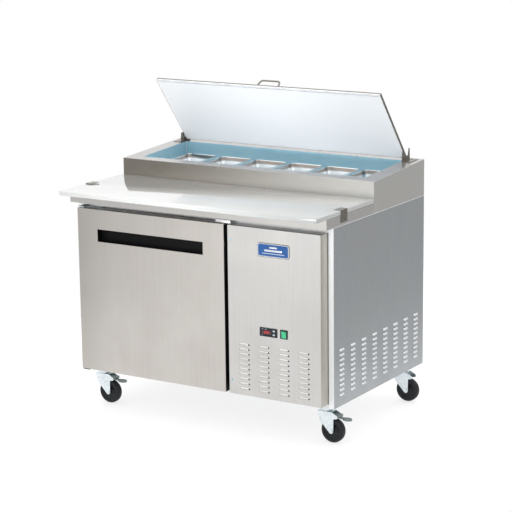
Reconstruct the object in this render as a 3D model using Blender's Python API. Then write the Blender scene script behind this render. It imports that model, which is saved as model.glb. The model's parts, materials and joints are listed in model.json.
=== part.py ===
"""Refrigerated sandwich prep table: a one-door cold cabinet on casters, with a cutting board in front of a
raised rail of food pans under a hinged lid.

Metres, +Z up. X runs along the width, +Y goes to the back. Shapes are laid out in the cabinet's own frame,
with Y = 0 on the front frame's face and Z = 0 on the floor. They hang from one root empty, which puts the
box centre of the whole table over the world origin.
"""

import math

import bmesh
import bpy
from mathutils import Matrix, Vector

# Overall sizes
WIDTH = 1.210
DEPTH = 0.762
BODY_HEIGHT = 0.7195

# Sheet metal and clearances
SHEET = 0.0015
GAP = 0.0003
SIDE_RETURN = 0.024
FRAME_DEPTH = 0.020
BASE_RIM = 0.030

# Worktop, cutting board and its clips
DECK_HEIGHT = 0.039
WORKTOP_NOSE = 0.053
BOARD_THICKNESS = 0.019
BOARD_OVERHANG = 0.075
BOARD_EDGE = 0.002
CLIP_WIDTH = 0.051
CLIP_SETBACK = 0.082
CLIP_DROP = 0.048
CLIP_REACH = 0.030
CLIP_SCREW_SPACING = 0.033
CLIP_SCREW_RISE = 0.009
CLIP_SCREW = 0.0045
CLIP_SCREW_HEAD = 0.002

# Pan rail
RAIL_DEPTH = 0.437
RAIL_RISE = 0.0878
RAIL_SLOPE = math.radians(3.27)
RAIL_SIDE = 0.0675
RAIL_FRONT_LEDGE = 0.053
RAIL_REAR_LEDGE = 0.054
TROUGH_WALL = 0.0012
PAN_COUNT = 6
PAN_DEPTH = 0.100
PAN_WALL = 0.0010
PAN_RIM = 0.008
PAN_TAPER = 0.006
PAN_CORNER = 0.020
PAN_FOOT = 0.008
PAN_FOOT_RISE = 0.012
RIM_DROP = 0.0515
RACK_HEIGHT = 0.012
RACK_END = 0.008
PAN_WINDOW_CLEARANCE = 0.0015

# Lid
LID_FRONT_SETBACK = 0.028
LID_THICKNESS = 0.012
LID_SKIN = 0.0012
LID_OVERLAP = 0.0045
LID_REST = math.radians(52.0)
LID_AXIS_SETBACK = 0.038
LID_AXIS_RISE = 0.006
LID_AXIS_TO_UNDERSIDE = 0.005
LID_HEEL = 0.006
LID_PIN = 0.0025
LID_KNUCKLE = 0.0051
LID_KNUCKLE_LENGTH = 0.013
LID_EAR = 0.0035
BRACKET_CLEARANCE = 0.0025
BRACKET_PLATE = 0.002
BRACKET_FOOT = 0.040
BRACKET_FRONT = -0.050
BRACKET_REAR = 0.022
BRACKET_HEIGHT = 0.040
BRACKET_RIVET = 0.004
HANDLE_WIDTH = 0.106
HANDLE_STANDOFF = 0.045
HANDLE_WIRE = 0.0036
HANDLE_SETBACK = 0.0175
HANDLE_BEND = 0.012
HANDLE_SPLAY = 0.006

# Door and machine bay cover
FACE_PROUD = 0.0566
FOOT_GAP = 0.018
HEAD_GAP = 0.0195
DOOR_LEFT_MARGIN = 0.038
PANEL_WIDTH = 0.419
DOOR_TO_PANEL = 0.018
DOOR_THICKNESS = 0.0438
DOOR_INNER_SHEET = 0.002
GASKET_WIDTH = 0.014
GASKET_INSET = 0.0145
HINGE_INSET = 0.015
HINGE_PIN = 0.004
HINGE_PLATE = 0.003
HINGE_CLEAR = 0.003
HINGE_PIN_DEPTH = 0.010
TOP_HINGE_REACH = 0.097
BOTTOM_HINGE_REACH = 0.060
RECESS_WIDTH = 0.514
RECESS_HEIGHT = 0.052
RECESS_DEPTH = 0.030
RECESS_WALL = 0.002
RECESS_FROM_TOP = 0.081
SPARE_PLATE_WIDTH = 0.070
SPARE_PLATE_REACH = 0.045

# Cold compartment
INSULATION = 0.033
FLOOR_INSULATION = 0.044
REAR_INSULATION = 0.042
LINER_WALL = 0.0012
HEAD_INSULATION = 0.0473
MULLION = 0.070
SHELF_RISE = 0.289
SHELF_BARS = 15
SHELF_BAR = 0.005
SHELF_SIDE_GAP = 0.003
SHELF_FRONT = 0.035
SHELF_REAR_GAP = 0.105
LEDGE_WIDTH = 0.012
LEDGE_THICKNESS = 0.004
DUCT_SIDE = 0.050
DUCT_FRONT = 0.040
DUCT_REAR = 0.140
EVAPORATOR_SIDE = 0.060
EVAPORATOR_DEPTH = 0.085
EVAPORATOR_HEIGHT = 0.170
EVAPORATOR_MOUTH = 0.064
EVAPORATOR_FAN = 0.060

# Machine bay cover fittings
BADGE_WIDTH = 0.141
BADGE_HEIGHT = 0.052
BADGE_THICKNESS = 0.003
BADGE_FROM_TOP = 0.082
BADGE_CORNER = 0.008
BEZEL_OVERLAP = 0.003
PANEL_SCREW = 0.004
PANEL_SCREW_INSET = 0.014
PANEL_SCREW_MARGIN = 0.057
CONTROL_RISE = 0.272
CONTROLLER_OFFSET = -0.0255
CONTROLLER_WIDTH = 0.078
CONTROLLER_HEIGHT = 0.035
CONTROLLER_DEPTH = 0.045
CONTROLLER_LIP = 0.003
DISPLAY_LEFT = -0.030
DISPLAY_RIGHT = 0.014
DISPLAY_HALF_HEIGHT = 0.008
KEY_WIDTH = 0.010
KEY_HEIGHT = 0.007
KEY_TRAVEL = 0.0008
KEY_OFFSET = 0.026
KEY_SPREAD = 0.0075
KEY_WELL = 0.005
SWITCH_OFFSET = 0.0445
SWITCH_WIDTH = 0.033
SWITCH_HEIGHT = 0.036
ROCKER_WIDTH = 0.021
ROCKER_HEIGHT = 0.029
ROCKER_TILT = math.radians(9.0)
SWITCH_DEPTH = 0.028
SWITCH_LIP = 0.002
LOUVRE_PITCH = 0.0201
LOUVRE_ROWS = 10
LOUVRE_HEIGHT = 0.005
LOUVRE_RISE = 0.226
FRONT_COLUMNS = 4
FRONT_COLUMN_MARGIN = 0.0735
FRONT_LOUVRE_WIDTH = 0.044
SIDE_COLUMNS = 8
SIDE_FRONT_MARGIN = 0.064
SIDE_REAR_MARGIN = 0.070
SIDE_LOUVRE_WIDTH = 0.036
REAR_LOUVRE_WIDTH = 0.140
REAR_COLUMN_PITCH = 0.180
GLAND_FROM_SIDE = 0.060
GLAND_RISE = 0.420
GLAND_RADIUS = 0.011
GLAND_FLANGE = 0.016
GLAND_BORE = 0.005
GLAND_LENGTH = 0.022

# Condensing unit
FAN_RADIUS = 0.105
FAN_CLEARANCE = 0.005
FAN_BLADES = 5
BLADE_SHEET = 0.0024
BLADE_PITCH = math.radians(14.0)
FLOOR_TO_FAN = 0.025
COMPRESSOR_RADIUS = 0.072
COMPRESSOR_HEIGHT = 0.185
COMPRESSOR_SETBACK = 0.220
COIL_FRONT = 0.045
COIL_REAR = 0.090
COIL_HALF_WIDTH = 0.150
COIL_CHEEK = 0.003
COLLAR_DEPTH = 0.032
MOTOR_RADIUS = 0.036
MOTOR_LENGTH = 0.060
MOTOR_SETBACK = 0.034
FAN_SETBACK = 0.018
STRUT_LAP = 0.003

# Casters
CASTER_X = 0.065
CASTER_FRONT = 0.063
CASTER_REAR = 0.062
WHEEL_RADIUS = 0.050
WHEEL_WIDTH = 0.032
WHEEL_TO_CROWN = 0.0245
SWIVEL_HEIGHT = 0.028
CASTER_TRAIL = 0.028
AXLE_RADIUS = 0.004
AXLE_NUT = 0.0075
FORK_SHEET = 0.0025
FORK_CLEARANCE = 0.0015
CASTER_PLATE = 0.0035
PEDAL_PIVOT_REACH = 0.045
PEDAL_PIVOT_DROP = 0.016
WHEEL_STEPS = 24
PAD_STEPS = 16

# Derived from the sizes above
HALF = WIDTH / 2
CROWN_HEIGHT = 2 * WHEEL_RADIUS + WHEEL_TO_CROWN + FORK_SHEET
UNDERSIDE = CROWN_HEIGHT + SWIVEL_HEIGHT
BODY_TOP = UNDERSIDE + BODY_HEIGHT
DECK_TOP = BODY_TOP + DECK_HEIGHT
RAIL_FRONT = DEPTH - RAIL_DEPTH
RAIL_TOP = DECK_TOP + RAIL_RISE
INNER_HALF = HALF - SIDE_RETURN - GAP
OPENING_HALF = HALF - RAIL_SIDE
OPENING_FRONT = RAIL_FRONT + RAIL_FRONT_LEDGE
OPENING_REAR = DEPTH - RAIL_REAR_LEDGE
PANEL_RIGHT = HALF - SIDE_RETURN
PANEL_LEFT = PANEL_RIGHT - PANEL_WIDTH
PANEL_CENTRE = (PANEL_LEFT + PANEL_RIGHT) / 2
DOOR_LEFT = -HALF + DOOR_LEFT_MARGIN
DOOR_RIGHT = PANEL_LEFT - DOOR_TO_PANEL
FACE_BOTTOM = UNDERSIDE + FOOT_GAP
FACE_TOP = BODY_TOP - HEAD_GAP
DOOR_BACK = -FACE_PROUD + DOOR_THICKNESS
CONTROL_HEIGHT = FACE_BOTTOM + CONTROL_RISE
LOUVRE_TOP = UNDERSIDE + LOUVRE_RISE
GLAND_X = PANEL_RIGHT - GLAND_FROM_SIDE
GLAND_Z = UNDERSIDE + GLAND_RISE
MULLION_CENTRE = PANEL_LEFT - DOOR_TO_PANEL / 2
FOAM_LEFT = -INNER_HALF + SHEET + GAP
FOAM_RIGHT = MULLION_CENTRE + 0.002
FOAM_FRONT = FRAME_DEPTH + SHEET + 2 * GAP
FOAM_REAR = DEPTH - 2 * SHEET - 2 * GAP
FOAM_BOTTOM = UNDERSIDE + SHEET + GAP
LINER_LEFT = FOAM_LEFT + INSULATION
LINER_RIGHT = MULLION_CENTRE - MULLION / 2
LINER_REAR = FOAM_REAR - REAR_INSULATION
LINER_BOTTOM = FOAM_BOTTOM + FLOOR_INSULATION
LINER_TOP = BODY_TOP - HEAD_INSULATION
SHELF_HEIGHT = LINER_BOTTOM + SHELF_RISE
TROUGH_BOTTOM = LINER_TOP + GAP
LID_HALF = OPENING_HALF + LID_OVERLAP
LID_AXIS_Y = DEPTH - LID_AXIS_SETBACK
LID_LENGTH = RAIL_DEPTH - LID_AXIS_SETBACK - LID_HEEL - LID_FRONT_SETBACK
HINGE_X = DOOR_LEFT + HINGE_INSET
HINGE_Y = -FACE_PROUD + HINGE_INSET


def rail_top(y):
    """Height of the rail's sloping top above the floor at depth y."""
    return RAIL_TOP + (y - RAIL_FRONT) * math.tan(RAIL_SLOPE)


LID_AXIS_Z = rail_top(LID_AXIS_Y) + LID_AXIS_RISE
RIM_HEIGHT = rail_top(OPENING_REAR) - RIM_DROP

# Looks: base colour, roughness, metallic
STEEL = ((0.60, 0.59, 0.57, 1.0), 0.34, 1.0)
BRIGHT_STEEL = ((0.78, 0.79, 0.80, 1.0), 0.22, 1.0)
LINER_METAL = ((0.70, 0.72, 0.74, 1.0), 0.40, 1.0)
ZINC = ((0.72, 0.77, 0.80, 1.0), 0.30, 1.0)
DARK_STEEL = ((0.10, 0.10, 0.10, 1.0), 0.45, 1.0)
BOARD_WHITE = ((0.86, 0.87, 0.86, 1.0), 0.35, 0.0)
BLUE_FILM = ((0.20, 0.38, 0.47, 1.0), 0.35, 0.0)
FOAM = ((0.80, 0.72, 0.45, 1.0), 0.90, 0.0)
BLACK_PLASTIC = ((0.02, 0.02, 0.02, 1.0), 0.45, 0.0)
RUBBER = ((0.03, 0.03, 0.035, 1.0), 0.70, 0.0)
BLUE_BADGE = ((0.05, 0.16, 0.55, 1.0), 0.25, 0.0)
GREEN_LENS = ((0.05, 0.63, 0.34, 1.0), 0.20, 0.0)
BLACK_PAINT = ((0.03, 0.03, 0.03, 1.0), 0.40, 0.0)
COPPER_FIN = ((0.45, 0.44, 0.42, 1.0), 0.50, 1.0)
KEY_GREY = ((0.45, 0.50, 0.52, 1.0), 0.50, 0.0)


def clear_scene():
    """Remove every object the scene starts with."""
    for obj in list(bpy.data.objects):
        bpy.data.objects.remove(obj, do_unlink=True)


def add_empty(name, location, parent=None):
    """An empty at a place in its parent's frame."""
    empty = bpy.data.objects.new(name, None)
    empty.empty_display_size = 0.03
    empty.location = location
    empty.parent = parent
    bpy.context.scene.collection.objects.link(empty)
    return empty


def from_bmesh(shape):
    """A working object that holds the shape, with its faces turned outwards."""
    bmesh.ops.recalc_face_normals(shape, faces=shape.faces)
    mesh = bpy.data.meshes.new("solid")
    shape.to_mesh(mesh)
    shape.free()
    obj = bpy.data.objects.new("solid", mesh)
    bpy.context.scene.collection.objects.link(obj)
    return obj


def add_cube(shape, low, high):
    """Add a box between two corners to a bmesh."""
    low, high = Vector(low), Vector(high)
    middle = Matrix.Translation((low + high) / 2)
    scale = Matrix.Diagonal((*(high - low), 1))
    bmesh.ops.create_cube(shape, size=1, matrix=middle @ scale)


def box(low, high):
    """A box between two corners."""
    return boxes([(low, high)])


def boxes(pairs):
    """Separate boxes in one working object, each between two corners."""
    shape = bmesh.new()
    for low, high in pairs:
        add_cube(shape, low, high)
    return from_bmesh(shape)


def rod(axis, centre, radius, start, stop, sides=16):
    """A cylinder along X, Y or Z; centre gives its other two coordinates in X, Y, Z order."""
    shape = bmesh.new()
    length = stop - start
    bmesh.ops.create_cone(shape, cap_ends=True, segments=sides, radius1=radius, radius2=radius, depth=length)
    quarter = math.pi / 2
    turn = {"X": Matrix.Rotation(quarter, 4, "Y"), "Y": Matrix.Rotation(quarter, 4, "X"), "Z": Matrix()}
    middle = (start + stop) / 2
    place = {"X": (middle, *centre), "Y": (centre[0], middle, centre[1]), "Z": (*centre, middle)}
    bmesh.ops.transform(shape, matrix=Matrix.Translation(place[axis]) @ turn[axis], verts=shape.verts)
    return from_bmesh(shape)


def prism(outline, axis, start, stop):
    """An outline pushed along X, Y or Z; its points are the other two coordinates in X, Y, Z order."""
    place = {
        "X": lambda a, b, c: (c, a, b),
        "Y": lambda a, b, c: (a, c, b),
        "Z": lambda a, b, c: (a, b, c),
    }[axis]
    shape = bmesh.new()
    face = shape.faces.new([shape.verts.new(place(a, b, start)) for a, b in outline])
    pushed = bmesh.ops.extrude_face_region(shape, geom=[face])["geom"]
    moved = [item for item in pushed if isinstance(item, bmesh.types.BMVert)]
    bmesh.ops.translate(shape, verts=moved, vec=place(0, 0, stop - start))
    return from_bmesh(shape)


def shell(solid, wall, open_side):
    """The solid hollowed to a sheet of the given wall, without the faces that look along open_side."""
    shape = bmesh.new()
    shape.from_mesh(solid.data)
    gone = [face for face in shape.faces if face.normal.dot(Vector(open_side)) > 0.9]
    bmesh.ops.delete(shape, geom=gone, context="FACES")
    shape.to_mesh(solid.data)
    shape.free()
    thicken = solid.modifiers.new("wall", "SOLIDIFY")
    thicken.thickness = wall
    thicken.offset = -1
    thicken.use_even_offset = True
    thicken.use_quality_normals = True
    return baked(solid)


def baked(obj):
    """Replace the object's mesh by what its modifiers make of it."""
    bpy.context.view_layer.update()
    graph = bpy.context.evaluated_depsgraph_get()
    mesh = bpy.data.meshes.new_from_object(obj.evaluated_get(graph))
    obj.modifiers.clear()
    obj.data = mesh
    return obj


def combined(base, tools, operation):
    """Run one exact Boolean per tool on the base, then delete the tools."""
    for tool in tools:
        modifier = base.modifiers.new(operation.lower(), "BOOLEAN")
        modifier.operation = operation
        modifier.object = tool
        modifier.solver = "EXACT"
    baked(base)
    for tool in tools:
        bpy.data.objects.remove(tool, do_unlink=True)
    return base


def joined(base, *others):
    """One solid out of several that overlap."""
    return combined(base, others, "UNION")


def cut(base, *cutters):
    """The base without what its cutters cover."""
    return combined(base, cutters, "DIFFERENCE")


def bevelled(obj, width, segments=2):
    """Round the object's sharp edges."""
    bevel = obj.modifiers.new("edges", "BEVEL")
    bevel.width = width
    bevel.segments = segments
    bevel.limit_method = "ANGLE"
    return baked(obj)


def loft(rings):
    """An open skin through rings with the same number of points, closed by a face at its last ring."""
    shape = bmesh.new()
    loops = [[shape.verts.new(point) for point in ring] for ring in rings]
    count = len(loops[0])
    for first, second in zip(loops, loops[1:]):
        for i in range(count):
            after = (i + 1) % count
            shape.faces.new((first[i], first[after], second[after], second[i]))
    shape.faces.new(loops[-1])
    return from_bmesh(shape)


def rounded_ring(centre, half_x, half_y, corner, z, steps=3):
    """Points round a rectangle with round corners, at one height."""
    ring = []
    for sign_x, sign_y, start in ((1, 1, 0.0), (-1, 1, 0.5), (-1, -1, 1.0), (1, -1, 1.5)):
        for i in range(steps + 1):
            angle = math.pi * (start + 0.5 * i / steps)
            x = centre[0] + sign_x * (half_x - corner) + corner * math.cos(angle)
            y = centre[1] + sign_y * (half_y - corner) + corner * math.sin(angle)
            ring.append((x, y, z))
    return ring


def lathed(profile, steps=28):
    """A closed profile of (radius, height) points spun round Z."""
    shape = bmesh.new()
    verts = [shape.verts.new((radius, 0, height)) for radius, height in profile]
    edges = [shape.edges.new(pair) for pair in zip(verts, verts[1:] + verts[:1])]
    turn = {"axis": (0, 0, 1), "cent": (0, 0, 0), "angle": 2 * math.pi}
    bmesh.ops.spin(shape, geom=verts + edges, steps=steps, use_merge=True, **turn)
    bmesh.ops.remove_doubles(shape, verts=shape.verts, dist=1e-6)
    return from_bmesh(shape)


def named(obj, name, look, parent, origin=(0, 0, 0), smooth=False):
    """Name a finished solid, give it its own material, and hang it from its parent.

    The mesh is in the parent's frame, and origin is the point of that frame that becomes the object's own."""
    obj.name = name
    obj.data.name = name
    colour, roughness, metallic = look
    material = bpy.data.materials.new(name)
    material.use_nodes = True
    shader = material.node_tree.nodes["Principled BSDF"]
    shader.inputs["Base Color"].default_value = colour
    shader.inputs["Roughness"].default_value = roughness
    shader.inputs["Metallic"].default_value = metallic
    material.diffuse_color = colour
    obj.data.materials.clear()
    obj.data.materials.append(material)
    obj.data.transform(Matrix.Translation(-Vector(origin)))
    obj.location = origin
    obj.parent = parent
    if smooth:
        obj.data.shade_smooth()
        obj.data.set_sharp_from_angle(angle=math.radians(35))
    return obj


def slots(centres_a, centres_b, half_a, half_b, axis, start, stop):
    """Cutters for a grid of oblong slots through a sheet that faces along X or Y."""
    pairs = []
    for a in centres_a:
        for b in centres_b:
            low = {"X": (start, a - half_a, b - half_b), "Y": (a - half_a, start, b - half_b)}[axis]
            high = {"X": (stop, a + half_a, b + half_b), "Y": (a + half_a, stop, b + half_b)}[axis]
            pairs.append((low, high))
    return boxes(pairs)


def spread(first, last, count):
    """Evenly spaced values from the first to the last."""
    return [first + (last - first) * i / (count - 1) for i in range(count)]


def louvres(columns, width, axis, face):
    """Cutters for rows of louvre slots through a sheet whose outer face lies at one place along an axis."""
    rows = [LOUVRE_TOP - LOUVRE_PITCH * row for row in range(LOUVRE_ROWS)]
    return slots(columns, rows, width / 2, LOUVRE_HEIGHT / 2, axis, face - 2 * SHEET, face + 2 * SHEET)


def duct_between(low_z, high_z):
    """The air way between the cold compartment and the pan well."""
    return box(
        (LINER_LEFT + DUCT_SIDE, OPENING_FRONT + DUCT_FRONT, low_z),
        (LINER_RIGHT - DUCT_SIDE, OPENING_REAR - DUCT_REAR, high_z),
    )


def build_cabinet(root):
    """Outer skins, front frame, foam, liner, and the base tray with the bulkhead beside the machine bay."""
    top = BODY_TOP - GAP
    left = shell(box((-HALF, 0, UNDERSIDE), (-HALF + SIDE_RETURN, DEPTH, top)), SHEET, (1, 0, 0))
    named(left, "left_side_panel", STEEL, root)

    right = shell(box((HALF - SIDE_RETURN, 0, UNDERSIDE), (HALF, DEPTH, top)), SHEET, (-1, 0, 0))
    columns = spread(SIDE_FRONT_MARGIN, DEPTH - SIDE_REAR_MARGIN, SIDE_COLUMNS)
    named(cut(right, louvres(columns, SIDE_LOUVRE_WIDTH, "X", HALF)), "right_side_panel", STEEL, root)

    rear = box((-INNER_HALF, DEPTH - SHEET, UNDERSIDE), (INNER_HALF, DEPTH, top))
    vent_columns = [PANEL_CENTRE - REAR_COLUMN_PITCH / 2, PANEL_CENTRE + REAR_COLUMN_PITCH / 2]
    vents = louvres(vent_columns, REAR_LOUVRE_WIDTH, "Y", DEPTH)
    gland_at = (GLAND_X, GLAND_Z)
    gland_hole = rod("Y", gland_at, GLAND_RADIUS + GAP, DEPTH - 2 * SHEET, DEPTH + SHEET, 20)
    named(cut(rear, vents, gland_hole), "back_panel", STEEL, root)

    gland = rod("Y", gland_at, GLAND_RADIUS, DEPTH - GLAND_LENGTH, DEPTH, 20)
    flange_rear = DEPTH - SHEET - GAP
    flange = rod("Y", gland_at, GLAND_FLANGE, flange_rear - 0.004, flange_rear, 20)
    bore = rod("Y", gland_at, GLAND_BORE, DEPTH - 2 * GLAND_LENGTH, DEPTH + SHEET)
    named(cut(joined(gland, flange), bore), "cord_gland", BLACK_PLASTIC, root, smooth=True)

    base_low = (-INNER_HALF, FRAME_DEPTH + GAP, UNDERSIDE)
    base_high = (INNER_HALF, DEPTH - SHEET - GAP, UNDERSIDE + BASE_RIM)
    tray = shell(box(base_low, base_high), SHEET, (0, 0, 1))
    bulkhead = box(
        (FOAM_RIGHT + GAP, FOAM_FRONT - SHEET, UNDERSIDE + SHEET / 2),
        (FOAM_RIGHT + GAP + SHEET, FOAM_REAR + SHEET, TROUGH_BOTTOM - GAP),
    )
    named(joined(tray, bulkhead), "base_frame", STEEL, root)

    frame = shell(box((-INNER_HALF, 0, UNDERSIDE), (INNER_HALF, FRAME_DEPTH, top)), SHEET, (0, 1, 0))
    opening_low, opening_high = LINER_BOTTOM + LINER_WALL, LINER_TOP - LINER_WALL
    opening_left, opening_right = LINER_LEFT + LINER_WALL, LINER_RIGHT - LINER_WALL
    door_hole = box((opening_left, -SHEET, opening_low), (opening_right, 2 * SHEET, opening_high))
    machine_left, machine_right = MULLION_CENTRE + MULLION / 2, PANEL_RIGHT - FRAME_DEPTH
    machine_hole = box((machine_left, -SHEET, opening_low), (machine_right, 2 * SHEET, opening_high))
    spare_middle = (DOOR_RIGHT + PANEL_LEFT) / 2 - 0.018
    spare_plate = box(
        (spare_middle - SPARE_PLATE_WIDTH / 2, -SPARE_PLATE_REACH, FACE_TOP + HINGE_CLEAR),
        (spare_middle + SPARE_PLATE_WIDTH / 2, SHEET / 2, BODY_TOP - HINGE_CLEAR),
    )
    named(joined(cut(frame, door_hole, machine_hole), spare_plate), "front_frame", STEEL, root)

    liner_low = (LINER_LEFT, SHEET + GAP, LINER_BOTTOM)
    liner = shell(box(liner_low, (LINER_RIGHT, LINER_REAR, LINER_TOP)), LINER_WALL, (0, -1, 0))
    ledge_half = LEDGE_WIDTH / 2
    ledge_top = SHELF_HEIGHT - SHELF_BAR - GAP
    ledge_rear = LINER_REAR - SHELF_REAR_GAP - SHELF_BAR
    ledge_low = (SHELF_FRONT + SHELF_BAR, ledge_top - LEDGE_THICKNESS)
    ledges = [
        box((x - ledge_half, *ledge_low), (x + ledge_half, ledge_rear, ledge_top))
        for x in (LINER_LEFT + LINER_WALL / 2 + ledge_half, LINER_RIGHT - LINER_WALL / 2 - ledge_half)
    ]
    duct = duct_between(LINER_TOP - 2 * LINER_WALL, LINER_TOP + LINER_WALL)
    named(cut(joined(liner, *ledges), duct), "cabinet_liner", LINER_METAL, root)

    foam = box((FOAM_LEFT, FOAM_FRONT, FOAM_BOTTOM), (FOAM_RIGHT, FOAM_REAR, top - SHEET - GAP))
    hollow_low = (LINER_LEFT - GAP, -FRAME_DEPTH, LINER_BOTTOM - GAP)
    hollow = box(hollow_low, (LINER_RIGHT + GAP, LINER_REAR + GAP, TROUGH_BOTTOM + GAP / 3))
    trough_way = box(
        (-OPENING_HALF - SHEET, OPENING_FRONT - SHEET, TROUGH_BOTTOM - GAP),
        (FOAM_RIGHT + MULLION, OPENING_REAR + SHEET, BODY_TOP + DECK_HEIGHT),
    )
    named(cut(foam, hollow, trough_way), "insulation_core", FOAM, root)


def build_worktop(root):
    """The deck that carries the cutting board, and the two board clips."""
    deck = shell(box((-HALF, -WORKTOP_NOSE, BODY_TOP), (HALF, RAIL_FRONT - GAP, DECK_TOP)), SHEET, (0, 0, -1))
    named(deck, "worktop", STEEL, root)

    board_bottom = DECK_TOP + GAP
    board_top = board_bottom + BOARD_THICKNESS
    board_front = -WORKTOP_NOSE - BOARD_OVERHANG
    board = box((-HALF, board_front, board_bottom), (HALF, RAIL_FRONT - 2 * GAP, board_top))
    board_origin = (0, board_front, board_bottom)
    named(bevelled(board, BOARD_EDGE), "cutting_board", BOARD_WHITE, root, origin=board_origin)

    for side, name in ((-1, "left_board_clip"), (1, "right_board_clip")):
        inner = side * (HALF + GAP)
        outer = side * (HALF + GAP + SHEET)
        tip = side * (HALF - CLIP_REACH)
        clip_front = CLIP_SETBACK - CLIP_WIDTH / 2
        strap = box(
            (min(inner, outer), clip_front, board_top - CLIP_DROP),
            (max(inner, outer), clip_front + CLIP_WIDTH, board_top + GAP + SHEET),
        )
        tab = box(
            (min(tip, outer), clip_front, board_top + GAP),
            (max(tip, outer), clip_front + CLIP_WIDTH, board_top + GAP + SHEET),
        )
        heads = []
        for offset in (-CLIP_SCREW_SPACING / 2, CLIP_SCREW_SPACING / 2):
            start, stop = sorted((outer - side * SHEET / 2, outer + side * CLIP_SCREW_HEAD))
            head_at = (CLIP_SETBACK + offset, board_top - CLIP_DROP + CLIP_SCREW_RISE)
            heads.append(rod("X", head_at, CLIP_SCREW, start, stop, 12))
        named(joined(strap, tab, *heads), name, BRIGHT_STEEL, root)


def rail_prism(half, front, rear, bottom):
    """A block whose top follows the rail's slope."""
    outline = [(front, bottom), (rear, bottom), (rear, rail_top(rear)), (front, rail_top(front))]
    return prism(outline, "X", -half, half)


def build_rail(root):
    """Rail housing, pan well, pan rack and the food pans."""
    housing = shell(rail_prism(HALF, RAIL_FRONT, DEPTH, BODY_TOP), SHEET, (0, 0, -1))
    opening_top = RAIL_TOP + RAIL_RISE
    opening = box((-OPENING_HALF, OPENING_FRONT, BODY_TOP), (OPENING_HALF, OPENING_REAR, opening_top))
    named(cut(housing, opening), "rail_housing", STEEL, root)

    well_half = OPENING_HALF - GAP
    well_front, well_rear = OPENING_FRONT + GAP, OPENING_REAR - GAP
    well = shell(rail_prism(well_half, well_front, well_rear, TROUGH_BOTTOM), TROUGH_WALL, (0, 0, 1))
    duct = duct_between(TROUGH_BOTTOM - TROUGH_WALL, TROUGH_BOTTOM + 2 * TROUGH_WALL)
    named(cut(well, duct), "rail_liner", BLUE_FILM, root)

    pitch = 2 * (OPENING_HALF - RACK_END) / PAN_COUNT
    centre_y = (well_front + well_rear) / 2
    rim_half_x = pitch / 2 - GAP
    rim_half_y = (well_rear - well_front) / 2 - TROUGH_WALL - 2 * GAP
    body_half_x = rim_half_x - PAN_RIM
    body_half_y = rim_half_y - PAN_RIM
    seat = RIM_HEIGHT - PAN_WALL

    rack = box(
        (-well_half + TROUGH_WALL + GAP, well_front + TROUGH_WALL + GAP, seat - GAP - RACK_HEIGHT),
        (well_half - TROUGH_WALL - GAP, well_rear - TROUGH_WALL - GAP, seat - GAP),
    )
    centres = [pitch * (i - (PAN_COUNT - 1) / 2) for i in range(PAN_COUNT)]
    window = PAN_WALL + PAN_WINDOW_CLEARANCE
    windows = boxes(
        [
            (
                (x - body_half_x - window, centre_y - body_half_y - window, seat - 2 * RACK_HEIGHT),
                (x + body_half_x + window, centre_y + body_half_y + window, seat + RACK_HEIGHT),
            )
            for x in centres
        ]
    )
    named(cut(rack, windows), "pan_rack", BRIGHT_STEEL, root)

    floor_z = RIM_HEIGHT - PAN_DEPTH
    low_half_x, low_half_y = body_half_x - PAN_TAPER, body_half_y - PAN_TAPER
    for number, x in enumerate(centres, start=1):
        middle = (x, centre_y)
        rings = [
            rounded_ring(middle, rim_half_x, rim_half_y, PAN_CORNER / 2, RIM_HEIGHT),
            rounded_ring(middle, body_half_x, body_half_y, PAN_CORNER, RIM_HEIGHT),
            rounded_ring(middle, low_half_x, low_half_y, PAN_CORNER, floor_z + PAN_FOOT_RISE),
            rounded_ring(middle, low_half_x - PAN_FOOT, low_half_y - PAN_FOOT, PAN_CORNER, floor_z),
        ]
        pan = loft(rings)
        thicken = pan.modifiers.new("wall", "SOLIDIFY")
        thicken.thickness = PAN_WALL
        thicken.offset = 1
        thicken.use_even_offset = True
        rim_middle = (x, centre_y, RIM_HEIGHT)
        named(baked(pan), f"food_pan_{number}", BRIGHT_STEEL, root, origin=rim_middle, smooth=True)


def build_lid(root):
    """The lid, modelled lying flat towards -Y from its hinge axis and then tilted by its empty."""
    pivot = add_empty("lid_axis", (0, LID_AXIS_Y, LID_AXIS_Z), root)
    pivot.rotation_euler.x = -LID_REST
    under = -LID_AXIS_TO_UNDERSIDE
    tip, heel = -(LID_HEEL + LID_LENGTH), -LID_HEEL
    skin = shell(box((-LID_HALF, tip, under), (LID_HALF, heel, under + LID_THICKNESS)), LID_SKIN, (0, 0, -1))
    ears, bores = [], []
    for side in (-1, 1):
        start, stop = sorted((side * (LID_HALF - LID_KNUCKLE_LENGTH), side * (LID_HALF - 0.001)))
        ears.append(rod("X", (0, 0), LID_KNUCKLE, start, stop, 20))
        ears.append(box((start, heel - LID_SKIN / 2, -LID_EAR), (stop, -0.001, LID_EAR)))
        bores.append(rod("X", (0, 0), LID_PIN + GAP, start - SHEET, stop + SHEET))
    named(cut(joined(skin, *ears), *bores), "lid_outer_skin", STEEL, pivot)

    inset = LID_SKIN + GAP
    panel = box((-LID_HALF + inset, tip + inset, under), (LID_HALF - inset, heel - inset, under + LID_SKIN))
    named(panel, "lid_inner_panel", BRIGHT_STEEL, pivot)

    handle_y = tip + HANDLE_SETBACK
    foot_z = under + LID_THICKNESS + GAP
    handle = wire_handle(handle_y, foot_z)
    named(handle, "lid_handle", BRIGHT_STEEL, pivot, origin=(0, handle_y, foot_z), smooth=True)

    for side, name in ((-1, "lid_hinge_left"), (1, "lid_hinge_right")):
        named(lid_bracket(side), name, BRIGHT_STEEL, root, origin=(side * LID_HALF, LID_AXIS_Y, LID_AXIS_Z))


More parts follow.
